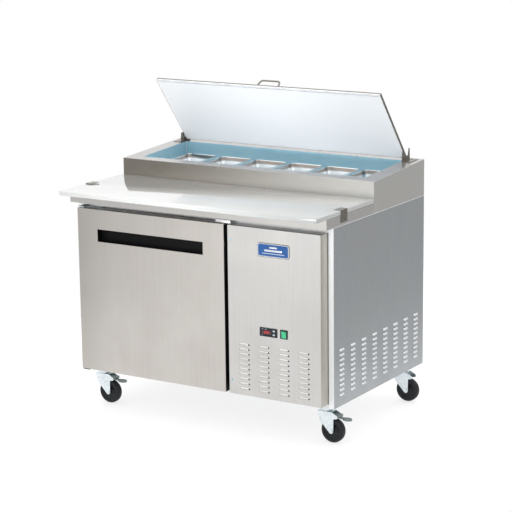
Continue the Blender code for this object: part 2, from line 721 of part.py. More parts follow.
def wire_handle(y, z):
    """A bent wire pull that stands on the lid: two splayed legs, round corners and a straight grip."""
    bend = HANDLE_BEND
    half = HANDLE_WIDTH / 2
    top = HANDLE_STANDOFF - HANDLE_WIRE
    arc = spread(0.0, math.pi / 2, 5)
    left = [(-half, 0.0), (-half, HANDLE_WIRE)]
    left += [(bend * (1 - math.cos(a)) + HANDLE_SPLAY - half, top - bend + bend * math.sin(a)) for a in arc]
    points = left + [(-x, height) for x, height in reversed(left)]
    curve = bpy.data.curves.new("wire", "CURVE")
    curve.dimensions = "3D"
    spline = curve.splines.new("POLY")
    spline.points.add(len(points) - 1)
    for point, (x, height) in zip(spline.points, points):
        point.co = (x, y, z + height, 1)
    curve.bevel_depth = HANDLE_WIRE
    curve.bevel_resolution = 2
    curve.use_fill_caps = True
    wire = bpy.data.objects.new("wire", curve)
    bpy.context.scene.collection.objects.link(wire)
    bpy.context.view_layer.update()
    graph = bpy.context.evaluated_depsgraph_get()
    mesh = bpy.data.meshes.new_from_object(wire.evaluated_get(graph))
    bpy.data.objects.remove(wire, do_unlink=True)
    shape = bmesh.new()
    shape.from_mesh(mesh)
    bmesh.ops.remove_doubles(shape, verts=shape.verts, dist=1e-6)
    return from_bmesh(shape)


def lid_bracket(side):
    """A notched upright with its foot on the rail's side ledge, and the pin that the lid turns on."""
    foot = -LID_AXIS_RISE + GAP
    front, rear, height = BRACKET_FRONT, BRACKET_REAR, BRACKET_HEIGHT
    front_horn, rear_horn, notch = 0.018, 0.008, 0.0125
    outline = [
        (front, foot),
        (rear, foot),
        (rear, height),
        (rear - rear_horn, height),
        (rear - 2 * rear_horn, notch),
        (front + 2 * front_horn, notch),
        (front + 1.4 * front_horn, height - 0.004),
        (front + 0.4 * front_horn, height - 0.004),
    ]
    near = side * (LID_HALF + BRACKET_CLEARANCE)
    far = near + side * BRACKET_PLATE
    edge = near + side * BRACKET_FOOT
    plate = prism(outline, "X", min(near, far), max(near, far))
    foot_top = foot + BRACKET_PLATE
    base_low = (min(near, edge), front + BRACKET_PLATE, foot)
    base = box(base_low, (max(near, edge), rear - BRACKET_PLATE, foot_top))
    pin_end = side * (LID_HALF - LID_KNUCKLE_LENGTH)
    pin = rod("X", (0, 0), LID_PIN, min(pin_end, far), max(pin_end, far))
    rivets = [
        rod("Z", ((near + edge) / 2, y), BRACKET_RIVET, foot_top - SHEET, foot_top + SHEET, 12)
        for y in (front + 0.015, rear - 0.015)
    ]
    bracket = joined(plate, base, pin, *rivets)
    bracket.data.transform(Matrix.Rotation(RAIL_SLOPE, 4, "X"))
    bracket.data.transform(Matrix.Translation((0, LID_AXIS_Y, LID_AXIS_Z)))
    return bracket


def build_door(root):
    """The door on its left-hand hinges, its gasket, its recessed handle and the two hinge brackets."""
    pivot = add_empty("door_axis", (HINGE_X, HINGE_Y, 0), root)
    face = -FACE_PROUD
    skin = shell(box((DOOR_LEFT, face, FACE_BOTTOM), (DOOR_RIGHT, DOOR_BACK, FACE_TOP)), SHEET, (0, 1, 0))
    centre = (DOOR_LEFT + DOOR_RIGHT) / 2
    recess_top = FACE_TOP - RECESS_FROM_TOP
    hole = box(
        (centre - RECESS_WIDTH / 2, face - SHEET, recess_top - RECESS_HEIGHT),
        (centre + RECESS_WIDTH / 2, face + 2 * SHEET, recess_top),
    )
    sockets = [
        rod("Z", (HINGE_X, HINGE_Y), HINGE_PIN + GAP, z - 2 * SHEET, z + 2 * SHEET)
        for z in (FACE_BOTTOM, FACE_TOP)
    ]
    hung(cut(skin, hole, *sockets), "door_shell", STEEL, pivot)

    inset = SHEET + GAP
    inner = box(
        (DOOR_LEFT + inset, DOOR_BACK - DOOR_INNER_SHEET, FACE_BOTTOM + inset),
        (DOOR_RIGHT - inset, DOOR_BACK, FACE_TOP - inset),
    )
    hung(inner, "door_inner_panel", LINER_METAL, pivot)

    ring_low = (DOOR_LEFT + GASKET_INSET, DOOR_BACK + GAP, FACE_BOTTOM + GASKET_INSET)
    ring_high = (DOOR_RIGHT - GASKET_INSET, -GAP, FACE_TOP - GASKET_INSET)
    ring = box(ring_low, ring_high)
    middle = box(
        (ring_low[0] + GASKET_WIDTH, ring_low[1] - SHEET, ring_low[2] + GASKET_WIDTH),
        (ring_high[0] - GASKET_WIDTH, ring_high[1] + SHEET, ring_high[2] - GASKET_WIDTH),
    )
    hung(cut(ring, middle), "door_gasket", RUBBER, pivot)

    pocket = box(
        (centre - RECESS_WIDTH / 2 + GAP, face, recess_top - RECESS_HEIGHT + GAP),
        (centre + RECESS_WIDTH / 2 - GAP, face + RECESS_DEPTH, recess_top - GAP),
    )
    hung(shell(pocket, RECESS_WALL, (0, -1, 0)), "door_handle", BLACK_PLASTIC, pivot)

    left = HINGE_X - HINGE_INSET
    for name, look, edge_z, up, outer_z, reach in (
        ("door_hinge_top", ZINC, FACE_TOP, 1, BODY_TOP - SHEET, TOP_HINGE_REACH),
        ("door_hinge_bottom", DARK_STEEL, FACE_BOTTOM, -1, UNDERSIDE + SHEET, BOTTOM_HINGE_REACH),
    ):
        inner_z = edge_z + up * HINGE_CLEAR
        low_z, high_z = sorted((inner_z, outer_z))
        leaf = box((left, -GAP - HINGE_PLATE, low_z), (left + reach, -GAP, high_z))
        arm_z = sorted((inner_z, inner_z + up * HINGE_PLATE))
        arm_right = left + 2 * HINGE_INSET
        arm = box((left, HINGE_Y - 2 * HINGE_PIN, arm_z[0]), (arm_right, -GAP - HINGE_PLATE / 2, arm_z[1]))
        pin_ends = sorted((edge_z - up * HINGE_PIN_DEPTH, inner_z + up * HINGE_PLATE / 2))
        pin = rod("Z", (HINGE_X, HINGE_Y), HINGE_PIN, *pin_ends)
        named(joined(leaf, arm, pin), name, look, root, origin=(HINGE_X, HINGE_Y, inner_z))


def hung(obj, name, look, pivot):
    """Name a solid laid out in the cabinet's frame and hang it from an empty, its origin on that empty."""
    obj.data.transform(Matrix.Translation(-pivot.location))
    return named(obj, name, look, pivot)


def build_machine_cover(root):
    """The louvred front panel of the machine bay, with badge, controller, keys and rocker switch."""
    face = -FACE_PROUD
    cover = shell(box((PANEL_LEFT, face, FACE_BOTTOM), (PANEL_RIGHT, -GAP, FACE_TOP)), SHEET, (0, 1, 0))
    columns = spread(PANEL_LEFT + FRONT_COLUMN_MARGIN, PANEL_RIGHT - FRONT_COLUMN_MARGIN, FRONT_COLUMNS)
    holes = louvres(columns, FRONT_LOUVRE_WIDTH, "Y", face)

    controller_x = PANEL_CENTRE + CONTROLLER_OFFSET
    cut_half_x, cut_half_z = CONTROLLER_WIDTH / 2 - BEZEL_OVERLAP, CONTROLLER_HEIGHT / 2 - BEZEL_OVERLAP
    controller_hole = box(
        (controller_x - cut_half_x, face - SHEET, CONTROL_HEIGHT - cut_half_z),
        (controller_x + cut_half_x, face + 2 * SHEET, CONTROL_HEIGHT + cut_half_z),
    )
    switch_x = PANEL_CENTRE + SWITCH_OFFSET
    switch_half_x, switch_half_z = SWITCH_WIDTH / 2 - BEZEL_OVERLAP, SWITCH_HEIGHT / 2 - BEZEL_OVERLAP
    switch_hole = box(
        (switch_x - switch_half_x, face - SHEET, CONTROL_HEIGHT - switch_half_z),
        (switch_x + switch_half_x, face + 2 * SHEET, CONTROL_HEIGHT + switch_half_z),
    )
    screws = [
        rod("Y", (PANEL_LEFT + PANEL_SCREW_INSET, z), PANEL_SCREW, face - SHEET, face + SHEET / 2, 12)
        for z in (FACE_TOP - PANEL_SCREW_MARGIN, FACE_BOTTOM + PANEL_SCREW_MARGIN)
    ]
    named(joined(cut(cover, holes, controller_hole, switch_hole), *screws), "front_panel", STEEL, root)

    badge_z = FACE_TOP - BADGE_FROM_TOP
    ring = rounded_ring((PANEL_CENTRE, badge_z), BADGE_WIDTH / 2, BADGE_HEIGHT / 2, BADGE_CORNER, 0.0)
    badge = prism([point[:2] for point in ring], "Y", face - GAP - BADGE_THICKNESS, face - GAP)
    named(badge, "badge", BLUE_BADGE, root, origin=(PANEL_CENTRE, face, badge_z))

    build_controller(root, controller_x, cut_half_x - GAP, cut_half_z - GAP)
    build_switch(root, switch_x, switch_half_x - GAP, switch_half_z - GAP)


def build_controller(root, x, body_half_x, body_half_z):
    """The temperature controller's case, with a display window recess and two keys that press in."""
    face = -FACE_PROUD
    lip_front = face - GAP - CONTROLLER_LIP
    bezel = box(
        (x - CONTROLLER_WIDTH / 2, lip_front, CONTROL_HEIGHT - CONTROLLER_HEIGHT / 2),
        (x + CONTROLLER_WIDTH / 2, face - GAP, CONTROL_HEIGHT + CONTROLLER_HEIGHT / 2),
    )
    body = box(
        (x - body_half_x, face - 2 * GAP, CONTROL_HEIGHT - body_half_z),
        (x + body_half_x, face + CONTROLLER_DEPTH, CONTROL_HEIGHT + body_half_z),
    )
    window = box(
        (x + DISPLAY_LEFT, lip_front - 0.001, CONTROL_HEIGHT - DISPLAY_HALF_HEIGHT),
        (x + DISPLAY_RIGHT, lip_front + 0.001, CONTROL_HEIGHT + DISPLAY_HALF_HEIGHT),
    )
    key_x = x + KEY_OFFSET
    key_heights = (CONTROL_HEIGHT + KEY_SPREAD, CONTROL_HEIGHT - KEY_SPREAD)
    wells = [
        box(
            (key_x - KEY_WIDTH / 2 - GAP, lip_front - 0.001, z - KEY_HEIGHT / 2 - GAP),
            (key_x + KEY_WIDTH / 2 + GAP, lip_front + KEY_WELL, z + KEY_HEIGHT / 2 + GAP),
        )
        for z in key_heights
    ]
    named(cut(joined(bezel, body), window, *wells), "controller_housing", BLACK_PLASTIC, root)
    for number, z in enumerate(key_heights, start=1):
        front = lip_front - KEY_TRAVEL - GAP
        key = box(
            (key_x - KEY_WIDTH / 2, front, z - KEY_HEIGHT / 2),
            (key_x + KEY_WIDTH / 2, lip_front + KEY_WELL - KEY_TRAVEL - GAP, z + KEY_HEIGHT / 2),
        )
        named(key, f"controller_key_{number}", KEY_GREY, root, origin=(key_x, front, z))


def build_switch(root, x, body_half_x, body_half_z):
    """The rocker switch's frame and its lit rocker, tilted to the on side."""
    face = -FACE_PROUD
    front = face - GAP - SWITCH_LIP
    frame = box(
        (x - SWITCH_WIDTH / 2, front, CONTROL_HEIGHT - SWITCH_HEIGHT / 2),
        (x + SWITCH_WIDTH / 2, face - GAP, CONTROL_HEIGHT + SWITCH_HEIGHT / 2),
    )
    body = box(
        (x - body_half_x, face - 2 * GAP, CONTROL_HEIGHT - body_half_z),
        (x + body_half_x, face + SWITCH_DEPTH, CONTROL_HEIGHT + body_half_z),
    )
    well_half_z = ROCKER_HEIGHT / 2 + 2 * GAP
    well = box(
        (x - ROCKER_WIDTH / 2 - GAP, front - 0.001, CONTROL_HEIGHT - well_half_z),
        (x + ROCKER_WIDTH / 2 + GAP, face + SWITCH_DEPTH / 2, CONTROL_HEIGHT + well_half_z),
    )
    named(cut(joined(frame, body), well), "switch_housing", BLACK_PLASTIC, root)

    pivot = add_empty("rocker_axis", (x, face + SWITCH_LIP + 0.001, CONTROL_HEIGHT), root)
    pivot.rotation_euler.x = ROCKER_TILT
    reach = ROCKER_HEIGHT / 2 - 0.0005
    back, front, waist, heel = -0.0045, -0.0075, -0.0050, 0.0070
    outline = [(back, -reach), (front, -reach), (waist, 0.0), (front, reach), (back, reach), (heel, 0.0)]
    rocker = prism(outline, "X", -ROCKER_WIDTH / 2, ROCKER_WIDTH / 2)
    named(rocker, "switch_rocker", GREEN_LENS, pivot)


def build_machine(root):
    """Compressor, condenser, shroud with its motor, and the fan."""
    floor_z = UNDERSIDE + SHEET + GAP
    machine_left = FOAM_RIGHT + GAP + SHEET
    centre_x = (machine_left + INNER_HALF) / 2
    centre_y = DEPTH - COMPRESSOR_SETBACK
    r, h = COMPRESSOR_RADIUS, COMPRESSOR_HEIGHT
    foot_height, foot_reach, seam = 0.012, 0.028, 1.06
    dome = [(0, foot_height / 2), (r * 0.80, foot_height / 2), (r * 0.97, h * 0.12), (r, h * 0.24)]
    dome += [(r, h * 0.55), (r * seam, h * 0.56), (r * seam, h * 0.60), (r, h * 0.61)]
    dome += [(r, h * 0.80), (r * 0.85, h * 0.94), (r * 0.45, h), (0, h)]
    feet = box((-r - foot_reach, -r, 0), (r + foot_reach, r, foot_height))
    terminal = box((r * 0.8, -r * 0.4, h * 0.20), (r + foot_reach, r * 0.4, h * 0.50))
    compressor = joined(lathed(dome), feet, terminal)
    compressor.data.transform(Matrix.Translation((centre_x, centre_y, floor_z)))
    named(compressor, "compressor", BLACK_PAINT, root, origin=(centre_x, centre_y, floor_z), smooth=True)

    fan_z = floor_z + FAN_RADIUS + FAN_CLEARANCE + FLOOR_TO_FAN
    coil_top = fan_z + FAN_RADIUS + FLOOR_TO_FAN
    cheek_top = coil_top + 2 * COIL_CHEEK
    core_bottom = floor_z + COIL_CHEEK
    core_low = (centre_x - COIL_HALF_WIDTH, COIL_FRONT, core_bottom)
    core = box(core_low, (centre_x + COIL_HALF_WIDTH, COIL_REAR, coil_top))
    cheeks = [
        box((x - COIL_CHEEK, COIL_FRONT - COIL_CHEEK, floor_z), (x + COIL_CHEEK, COIL_REAR, cheek_top))
        for x in (centre_x - COIL_HALF_WIDTH, centre_x + COIL_HALF_WIDTH)
    ]
    named(joined(core, *cheeks), "condenser_coil", COPPER_FIN, root)

    plate_front = COIL_REAR + GAP
    plate_half = COIL_HALF_WIDTH + COIL_CHEEK
    plate = box(
        (centre_x - plate_half, plate_front, floor_z),
        (centre_x + plate_half, plate_front + SHEET, cheek_top),
    )
    collar_inner = FAN_RADIUS + FAN_CLEARANCE
    collar_outer = collar_inner + SHEET
    collar_rear = plate_front + COLLAR_DEPTH
    collar = rod("Y", (centre_x, fan_z), collar_outer, plate_front + SHEET / 2, collar_rear, 32)
    hole = rod("Y", (centre_x, fan_z), collar_inner, plate_front - SHEET, collar_rear + SHEET, 32)
    ring = cut(joined(plate, collar), hole)
    motor_front = plate_front + MOTOR_SETBACK
    motor = rod("Y", (centre_x, fan_z), MOTOR_RADIUS, motor_front, motor_front + MOTOR_LENGTH, 24)
    bar_half, bar_depth = 0.006, 0.004
    bar_reach = collar_outer - SHEET / 2
    spider = []
    for angle in (math.radians(45), math.radians(135)):
        bar = box((-bar_reach, motor_front, -bar_half), (bar_reach, motor_front + bar_depth, bar_half))
        bar.data.transform(Matrix.Rotation(angle, 4, "Y"))
        bar.data.transform(Matrix.Translation((centre_x, 0, fan_z)))
        spider.append(bar)
    feet = []
    for turn in range(4):
        angle = math.radians(45 + 90 * turn)
        reach = collar_inner + SHEET / 2
        x, z = centre_x + reach * math.cos(angle), fan_z + reach * math.sin(angle)
        feet.append(rod("Y", (x, z), 0.005, collar_rear - STRUT_LAP, motor_front + bar_depth, 10))
    named(joined(ring, motor, *spider, *feet), "fan_shroud", BLACK_PAINT, root, smooth=True)

    pivot = add_empty("condenser_fan_axis", (centre_x, plate_front + FAN_SETBACK, fan_z), root)
    rotor = fan_rotor(FAN_RADIUS, FAN_RADIUS / 4, 0.010)
    named(rotor, "condenser_fan", LINER_METAL, pivot, smooth=True)


def fan_rotor(radius, hub, half_depth):
    """A hub along Y with flat pitched blades."""
    hub_solid = rod("Y", (0, 0), hub, -half_depth, half_depth, 20)
    blade_half = 0.030
    vanes = []
    for i in range(FAN_BLADES):
        vane = box((-blade_half, -BLADE_SHEET / 2, hub * 0.7), (blade_half, BLADE_SHEET / 2, radius - 0.002))
        turn = Matrix.Rotation(2 * math.pi * i / FAN_BLADES, 4, "Y")
        vane.data.transform(turn @ Matrix.Rotation(BLADE_PITCH, 4, "Z"))
        vanes.append(vane)
    return joined(hub_solid, *vanes)


def build_cold_side(root):
    """Evaporator housing with its fan, and the wire shelf."""
    left = LINER_LEFT + LINER_WALL + EVAPORATOR_SIDE
    right = LINER_RIGHT - LINER_WALL - EVAPORATOR_SIDE
    rear = LINER_REAR - LINER_WALL - GAP
    front = rear - EVAPORATOR_DEPTH
    top = LINER_TOP - LINER_WALL - GAP
    bottom = top - EVAPORATOR_HEIGHT
    fan_x, fan_z = (left + right) / 2, (top + bottom) / 2
    casing = shell(box((left, front, bottom), (right, rear, top)), SHEET, (0, 1, 0))
    mouth = rod("Y", (fan_x, fan_z), EVAPORATOR_MOUTH, front - SHEET, front + 2 * SHEET, 28)
    intake_pitch = EVAPORATOR_HEIGHT / 12
    intake_rows = [fan_z + intake_pitch * (i - 3.5) for i in range(8)]
    intake_columns = [(left + fan_x - EVAPORATOR_MOUTH) / 2, (right + fan_x + EVAPORATOR_MOUTH) / 2]
    intake_half = (fan_x - EVAPORATOR_MOUTH - left) / 2 - 0.020
    intake = slots(intake_columns, intake_rows, intake_half, 0.003, "Y", front - SHEET, front + 2 * SHEET)
    motor_front, motor_rear, strap_half = front + MOTOR_SETBACK, rear - 0.020, 0.006
    motor = rod("Y", (fan_x, fan_z), 0.022, motor_front, motor_rear, 20)
    strap = box(
        (fan_x - strap_half, motor_rear - strap_half, bottom + SHEET / 2),
        (fan_x + strap_half, motor_rear - SHEET, top - SHEET / 2),
    )
    housing = joined(cut(casing, mouth, intake), motor, strap)
    named(housing, "evaporator_housing", LINER_METAL, root)

    pivot = add_empty("evaporator_fan_axis", (fan_x, front + FAN_SETBACK, fan_z), root)
    rotor = fan_rotor(EVAPORATOR_FAN, EVAPORATOR_FAN / 4, 0.008)
    named(rotor, "evaporator_fan", BLACK_PLASTIC, pivot, smooth=True)

    shelf_left = LINER_LEFT + LINER_WALL + SHELF_SIDE_GAP
    shelf_right = LINER_RIGHT - LINER_WALL - SHELF_SIDE_GAP
    shelf_rear = LINER_REAR - SHELF_REAR_GAP
    bar = SHELF_BAR
    sheet = box((shelf_left, SHELF_FRONT, SHELF_HEIGHT - bar), (shelf_right, shelf_rear, SHELF_HEIGHT))
    pitch = (shelf_right - shelf_left - bar) / SHELF_BARS
    middle = (SHELF_FRONT + shelf_rear) / 2
    spans = [(SHELF_FRONT + bar, middle - bar / 2), (middle + bar / 2, shelf_rear - bar)]
    gaps = []
    for i in range(SHELF_BARS):
        start = shelf_left + bar + pitch * i
        stop = start + pitch - bar
        for near, far in spans:
            gaps.append(((start, near, SHELF_HEIGHT - 2 * bar), (stop, far, SHELF_HEIGHT + bar)))
    named(cut(sheet, boxes(gaps)), "wire_shelf", BOARD_WHITE, root)


def caster_meshes():
    """Plate, fork and wheel, each about the swivel axis with Z = 0 on the floor, as meshes to share."""
    top = UNDERSIDE - GAP
    plate_bottom = top - CASTER_PLATE
    plate_x, plate_y = 0.046, 0.040
    bolt_x, bolt_y = plate_x - 0.009, plate_y - 0.010
    plate = box((-plate_x, -plate_y, plate_bottom), (plate_x, plate_y, top))
    race_bottom, race_top = CROWN_HEIGHT + GAP, top - CASTER_PLATE / 2
    race_small, race_large = 0.020, 0.029
    race = [(0, race_bottom), (race_small, race_bottom), (race_large, race_bottom + 0.008)]
    race += [(race_large, race_top), (0, race_top)]
    bolts = [
        rod("Z", (x, y), 0.0065, plate_bottom - 0.005, race_top, 6)
        for x in (-bolt_x, bolt_x)
        for y in (-bolt_y, bolt_y)
    ]
    plate = joined(plate, lathed(race), *bolts)

    leg_inner = WHEEL_WIDTH / 2 + FORK_CLEARANCE
    leg_outer = leg_inner + FORK_SHEET
    axle_x, axle_z = CASTER_TRAIL, WHEEL_RADIUS
    crown_left, crown_right = -0.034, 0.028
    ear_right = PEDAL_PIVOT_REACH + 0.011
    outline = [
        (crown_left, CROWN_HEIGHT),
        (crown_right + 0.002, CROWN_HEIGHT),
        (ear_right, CROWN_HEIGHT - 0.014),
        (ear_right - 0.001, CROWN_HEIGHT - 0.024),
        (axle_x + 0.010, CROWN_HEIGHT - 0.028),
        (axle_x + 0.009, axle_z - 0.004),
        (axle_x + 0.002, axle_z - 0.012),
        (axle_x - 0.007, axle_z - 0.010),
        (crown_left + 0.010, CROWN_HEIGHT - 0.038),
    ]
    legs = [prism(outline, "Y", *sorted((side * leg_inner, side * leg_outer))) for side in (-1, 1)]
    crown_half = leg_outer - FORK_SHEET / 5
    crown_bottom = CROWN_HEIGHT - FORK_SHEET
    crown = box((crown_left, -crown_half, crown_bottom), (crown_right, crown_half, CROWN_HEIGHT))
    axle_end = leg_outer + 0.003
    axle = rod("Y", (axle_x, axle_z), AXLE_RADIUS, -axle_end, axle_end)
    nut_near, nut_far = leg_outer - 0.001, axle_end + 0.002
    nuts = [
        rod("Y", (axle_x, axle_z), AXLE_NUT, *sorted((side * nut_near, side * nut_far)), 6)
        for side in (-1, 1)
    ]
    fork = joined(legs[0], crown, legs[1], axle, *nuts)

    r, half, bore = WHEEL_RADIUS, WHEEL_WIDTH / 2, AXLE_RADIUS + GAP
    recess = half - 0.004
    section = [(bore, -half), (0.012, -half), (0.014, -recess), (r - 0.015, -recess), (r - 0.012, -half)]
    section += [(r - 0.005, -half), (r - 0.001, -recess), (r, -half + 0.009)]
    section += [(radius, -height) for radius, height in reversed(section)]
    wheel = lathed(section, WHEEL_STEPS)
    wheel.data.transform(Matrix.Rotation(math.pi / 2, 4, "X"))
    return plate, fork, wheel


def brake_pedal():
    """A foot lever between the fork's ears, with an oval pad beyond them, about its own pivot."""
    half = WHEEL_WIDTH / 2 + FORK_CLEARANCE - 0.001
    lever_left, lever_right = 0.010, PEDAL_PIVOT_REACH + 0.017
    lever_bottom, lever_top = CROWN_HEIGHT - 0.021, CROWN_HEIGHT - 0.010
    pad_centre, pad_x, pad_y = 0.090, 0.020, 0.014
    pad_bottom, pad_top = CROWN_HEIGHT - 0.029, CROWN_HEIGHT - 0.021
    neck_half, neck_left = 0.006, lever_right - 0.004
    neck_bottom, neck_top = pad_bottom + 0.003, pad_top + 0.001
    lever = box((lever_left, -half, lever_bottom), (lever_right, half, lever_top))
    neck = box((neck_left, -neck_half, neck_bottom), (pad_centre - pad_x / 2, neck_half, neck_top))
    heel = box((neck_left, -neck_half, neck_bottom), (lever_right, neck_half, lever_top - 0.002))
    angles = spread(0.0, 2 * math.pi, PAD_STEPS + 1)[:-1]
    outline = [(pad_centre + pad_x * math.cos(angle), pad_y * math.sin(angle)) for angle in angles]
    pedal = joined(lever, heel, neck, prism(outline, "Z", pad_bottom, pad_top))
    pedal.data.transform(Matrix.Translation((-PEDAL_PIVOT_REACH, 0, PEDAL_PIVOT_DROP - CROWN_HEIGHT)))
    return pedal


def build_casters(root):
    """Four swivel casters that share three meshes; the front pair has brake pedals."""
    plate, fork, wheel = caster_meshes()
    pedal = brake_pedal()
    masters = (plate, fork, wheel, pedal)
    places = {
        "front_left": (-HALF + CASTER_X, CASTER_FRONT),
        "front_right": (HALF - CASTER_X, CASTER_FRONT),
        "rear_left": (-HALF + CASTER_X, DEPTH - CASTER_REAR),
        "rear_right": (HALF - CASTER_X, DEPTH - CASTER_REAR),
    }
    for corner, (x, y) in places.items():
        swivel = add_empty(f"swivel_{corner}", (x, y, 0), root)
        hub = add_empty(f"axle_{corner}", (CASTER_TRAIL, 0, WHEEL_RADIUS), swivel)
        pieces = [
            (plate, "caster_plate", ZINC, swivel),
            (fork, "caster_fork", ZINC, swivel),
            (wheel, "caster_wheel", RUBBER, hub),
        ]
        if corner.startswith("front"):
            pin_at = (PEDAL_PIVOT_REACH, 0, CROWN_HEIGHT - PEDAL_PIVOT_DROP)
            pin = add_empty(f"pedal_axis_{corner}", pin_at, swivel)
            pieces.append((pedal, "brake_pedal", DARK_STEEL, pin))
        for master, kind, look, parent in pieces:
            copy = bpy.data.objects.new(kind, master.data.copy())
            bpy.context.scene.collection.objects.link(copy)
            named(copy, f"{kind}_{corner}", look, parent, smooth=True)
    for master in masters:
        bpy.data.objects.remove(master, do_unlink=True)


def centre_on_origin(root):
    """Move the root so that the whole table's box stands centred over the world origin."""
    bpy.context.view_layer.update()
    solids = [obj for obj in bpy.data.objects if obj.type == "MESH"]
    corners = [obj.matrix_world @ Vector(corner) for obj in solids for corner in obj.bound_box]
    for axis in (0, 1):
        values = [corner[axis] for corner in corners]
        root.location[axis] = -(min(values) + max(values)) / 2
    bpy.context.view_layer.update()


def main():
    """Build the whole table."""
    clear_scene()
    root = add_empty("prep_table", (0, 0, 0))
    build_cabinet(root)
    build_worktop(root)
    build_rail(root)
    build_lid(root)
    build_door(root)
    build_machine_cover(root)
    build_machine(root)
    build_cold_side(root)
    build_casters(root)
    centre_on_origin(root)


if __name__ == "__main__":
    main()
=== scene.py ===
"""Looks of the refrigerated prep table: brushed steel sheet, pressed louvres, pans, board, lid and casters.

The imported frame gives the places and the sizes. Sheet parts are the frame's own solids with rounded edges.
The finer pieces are surfaces worked out with numpy and laid over the places that the frame gives.
"""

import json
import logging
import math
from dataclasses import dataclass, field
from enum import Enum

import bmesh
import bpy
import numpy as np
from mathutils import Matrix, Vector


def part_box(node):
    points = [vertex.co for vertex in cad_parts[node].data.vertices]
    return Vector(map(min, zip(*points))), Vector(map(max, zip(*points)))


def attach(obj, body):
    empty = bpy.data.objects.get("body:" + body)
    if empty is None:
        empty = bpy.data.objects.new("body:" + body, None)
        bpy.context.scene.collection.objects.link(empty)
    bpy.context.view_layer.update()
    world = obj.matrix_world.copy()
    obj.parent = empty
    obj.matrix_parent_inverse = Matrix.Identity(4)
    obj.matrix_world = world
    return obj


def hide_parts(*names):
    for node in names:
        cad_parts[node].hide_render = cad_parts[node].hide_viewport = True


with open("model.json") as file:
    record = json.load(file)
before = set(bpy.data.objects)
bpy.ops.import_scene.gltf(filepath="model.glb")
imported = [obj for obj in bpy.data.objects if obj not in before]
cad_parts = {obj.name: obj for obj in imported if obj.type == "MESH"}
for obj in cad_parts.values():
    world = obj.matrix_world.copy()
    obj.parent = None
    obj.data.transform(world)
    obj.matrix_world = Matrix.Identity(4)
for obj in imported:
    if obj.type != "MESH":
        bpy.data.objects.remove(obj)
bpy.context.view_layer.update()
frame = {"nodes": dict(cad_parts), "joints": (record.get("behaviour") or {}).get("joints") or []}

Tree = bpy.types.NodeTree
Node = bpy.types.Node
Socket = bpy.types.NodeSocket
Piece = bpy.types.Object
Section = list[tuple[float, float]]
Direction = tuple[float, float, float]

log = logging.getLogger("prep_table")
MM = 0.001
FOLD_ANGLE = math.radians(38)  # edges sharper than this are drawn sharp, and rounded where a solid has them
LID_REST = math.radians(52.0)  # how far the lid stands open at rest
CORNERS = ("front_left", "front_right", "rear_left", "rear_right")
JOINTS = {joint["name"]: joint for joint in frame["joints"]}


class Axis(Enum):
    """The three directions of the table's own frame."""

    X = 0
    Y = 1
    Z = 2


def linear(code: str) -> tuple[float, float, float, float]:
    """Turn an sRGB hex colour into the linear colour that a shader takes.

    Args:
        code: six hex digits after a hash.

    Returns:
        Linear red, green, blue and an alpha of one.
    """
    parts = np.array([int(code[i : i + 2], 16) for i in (1, 3, 5)]) / 255.0
    curve = np.where(parts <= 0.04045, parts / 12.92, ((parts + 0.055) / 1.055) ** 2.4)
    return (*map(float, curve), 1.0)


def add_node(tree: Tree, kind: str, inputs: dict | None = None, **settings: object) -> Node:
    """Add one shader node, set its properties and fill its inputs.

    Args:
        tree: the node tree to add to.
        kind: Blender's name for the node type.
        inputs: a value or an output socket for each input, by the input's name or number.
        settings: properties of the node itself.

    Returns:
        The new node.
    """
    node = tree.nodes.new(kind)
    for key, value in settings.items():
        setattr(node, key, value)
    for key, value in (inputs or {}).items():
        if isinstance(value, Socket):
            tree.links.new(value, node.inputs[key])
        else:
            node.inputs[key].default_value = value
    return node


# ---------------------------------------------------------------- finishes


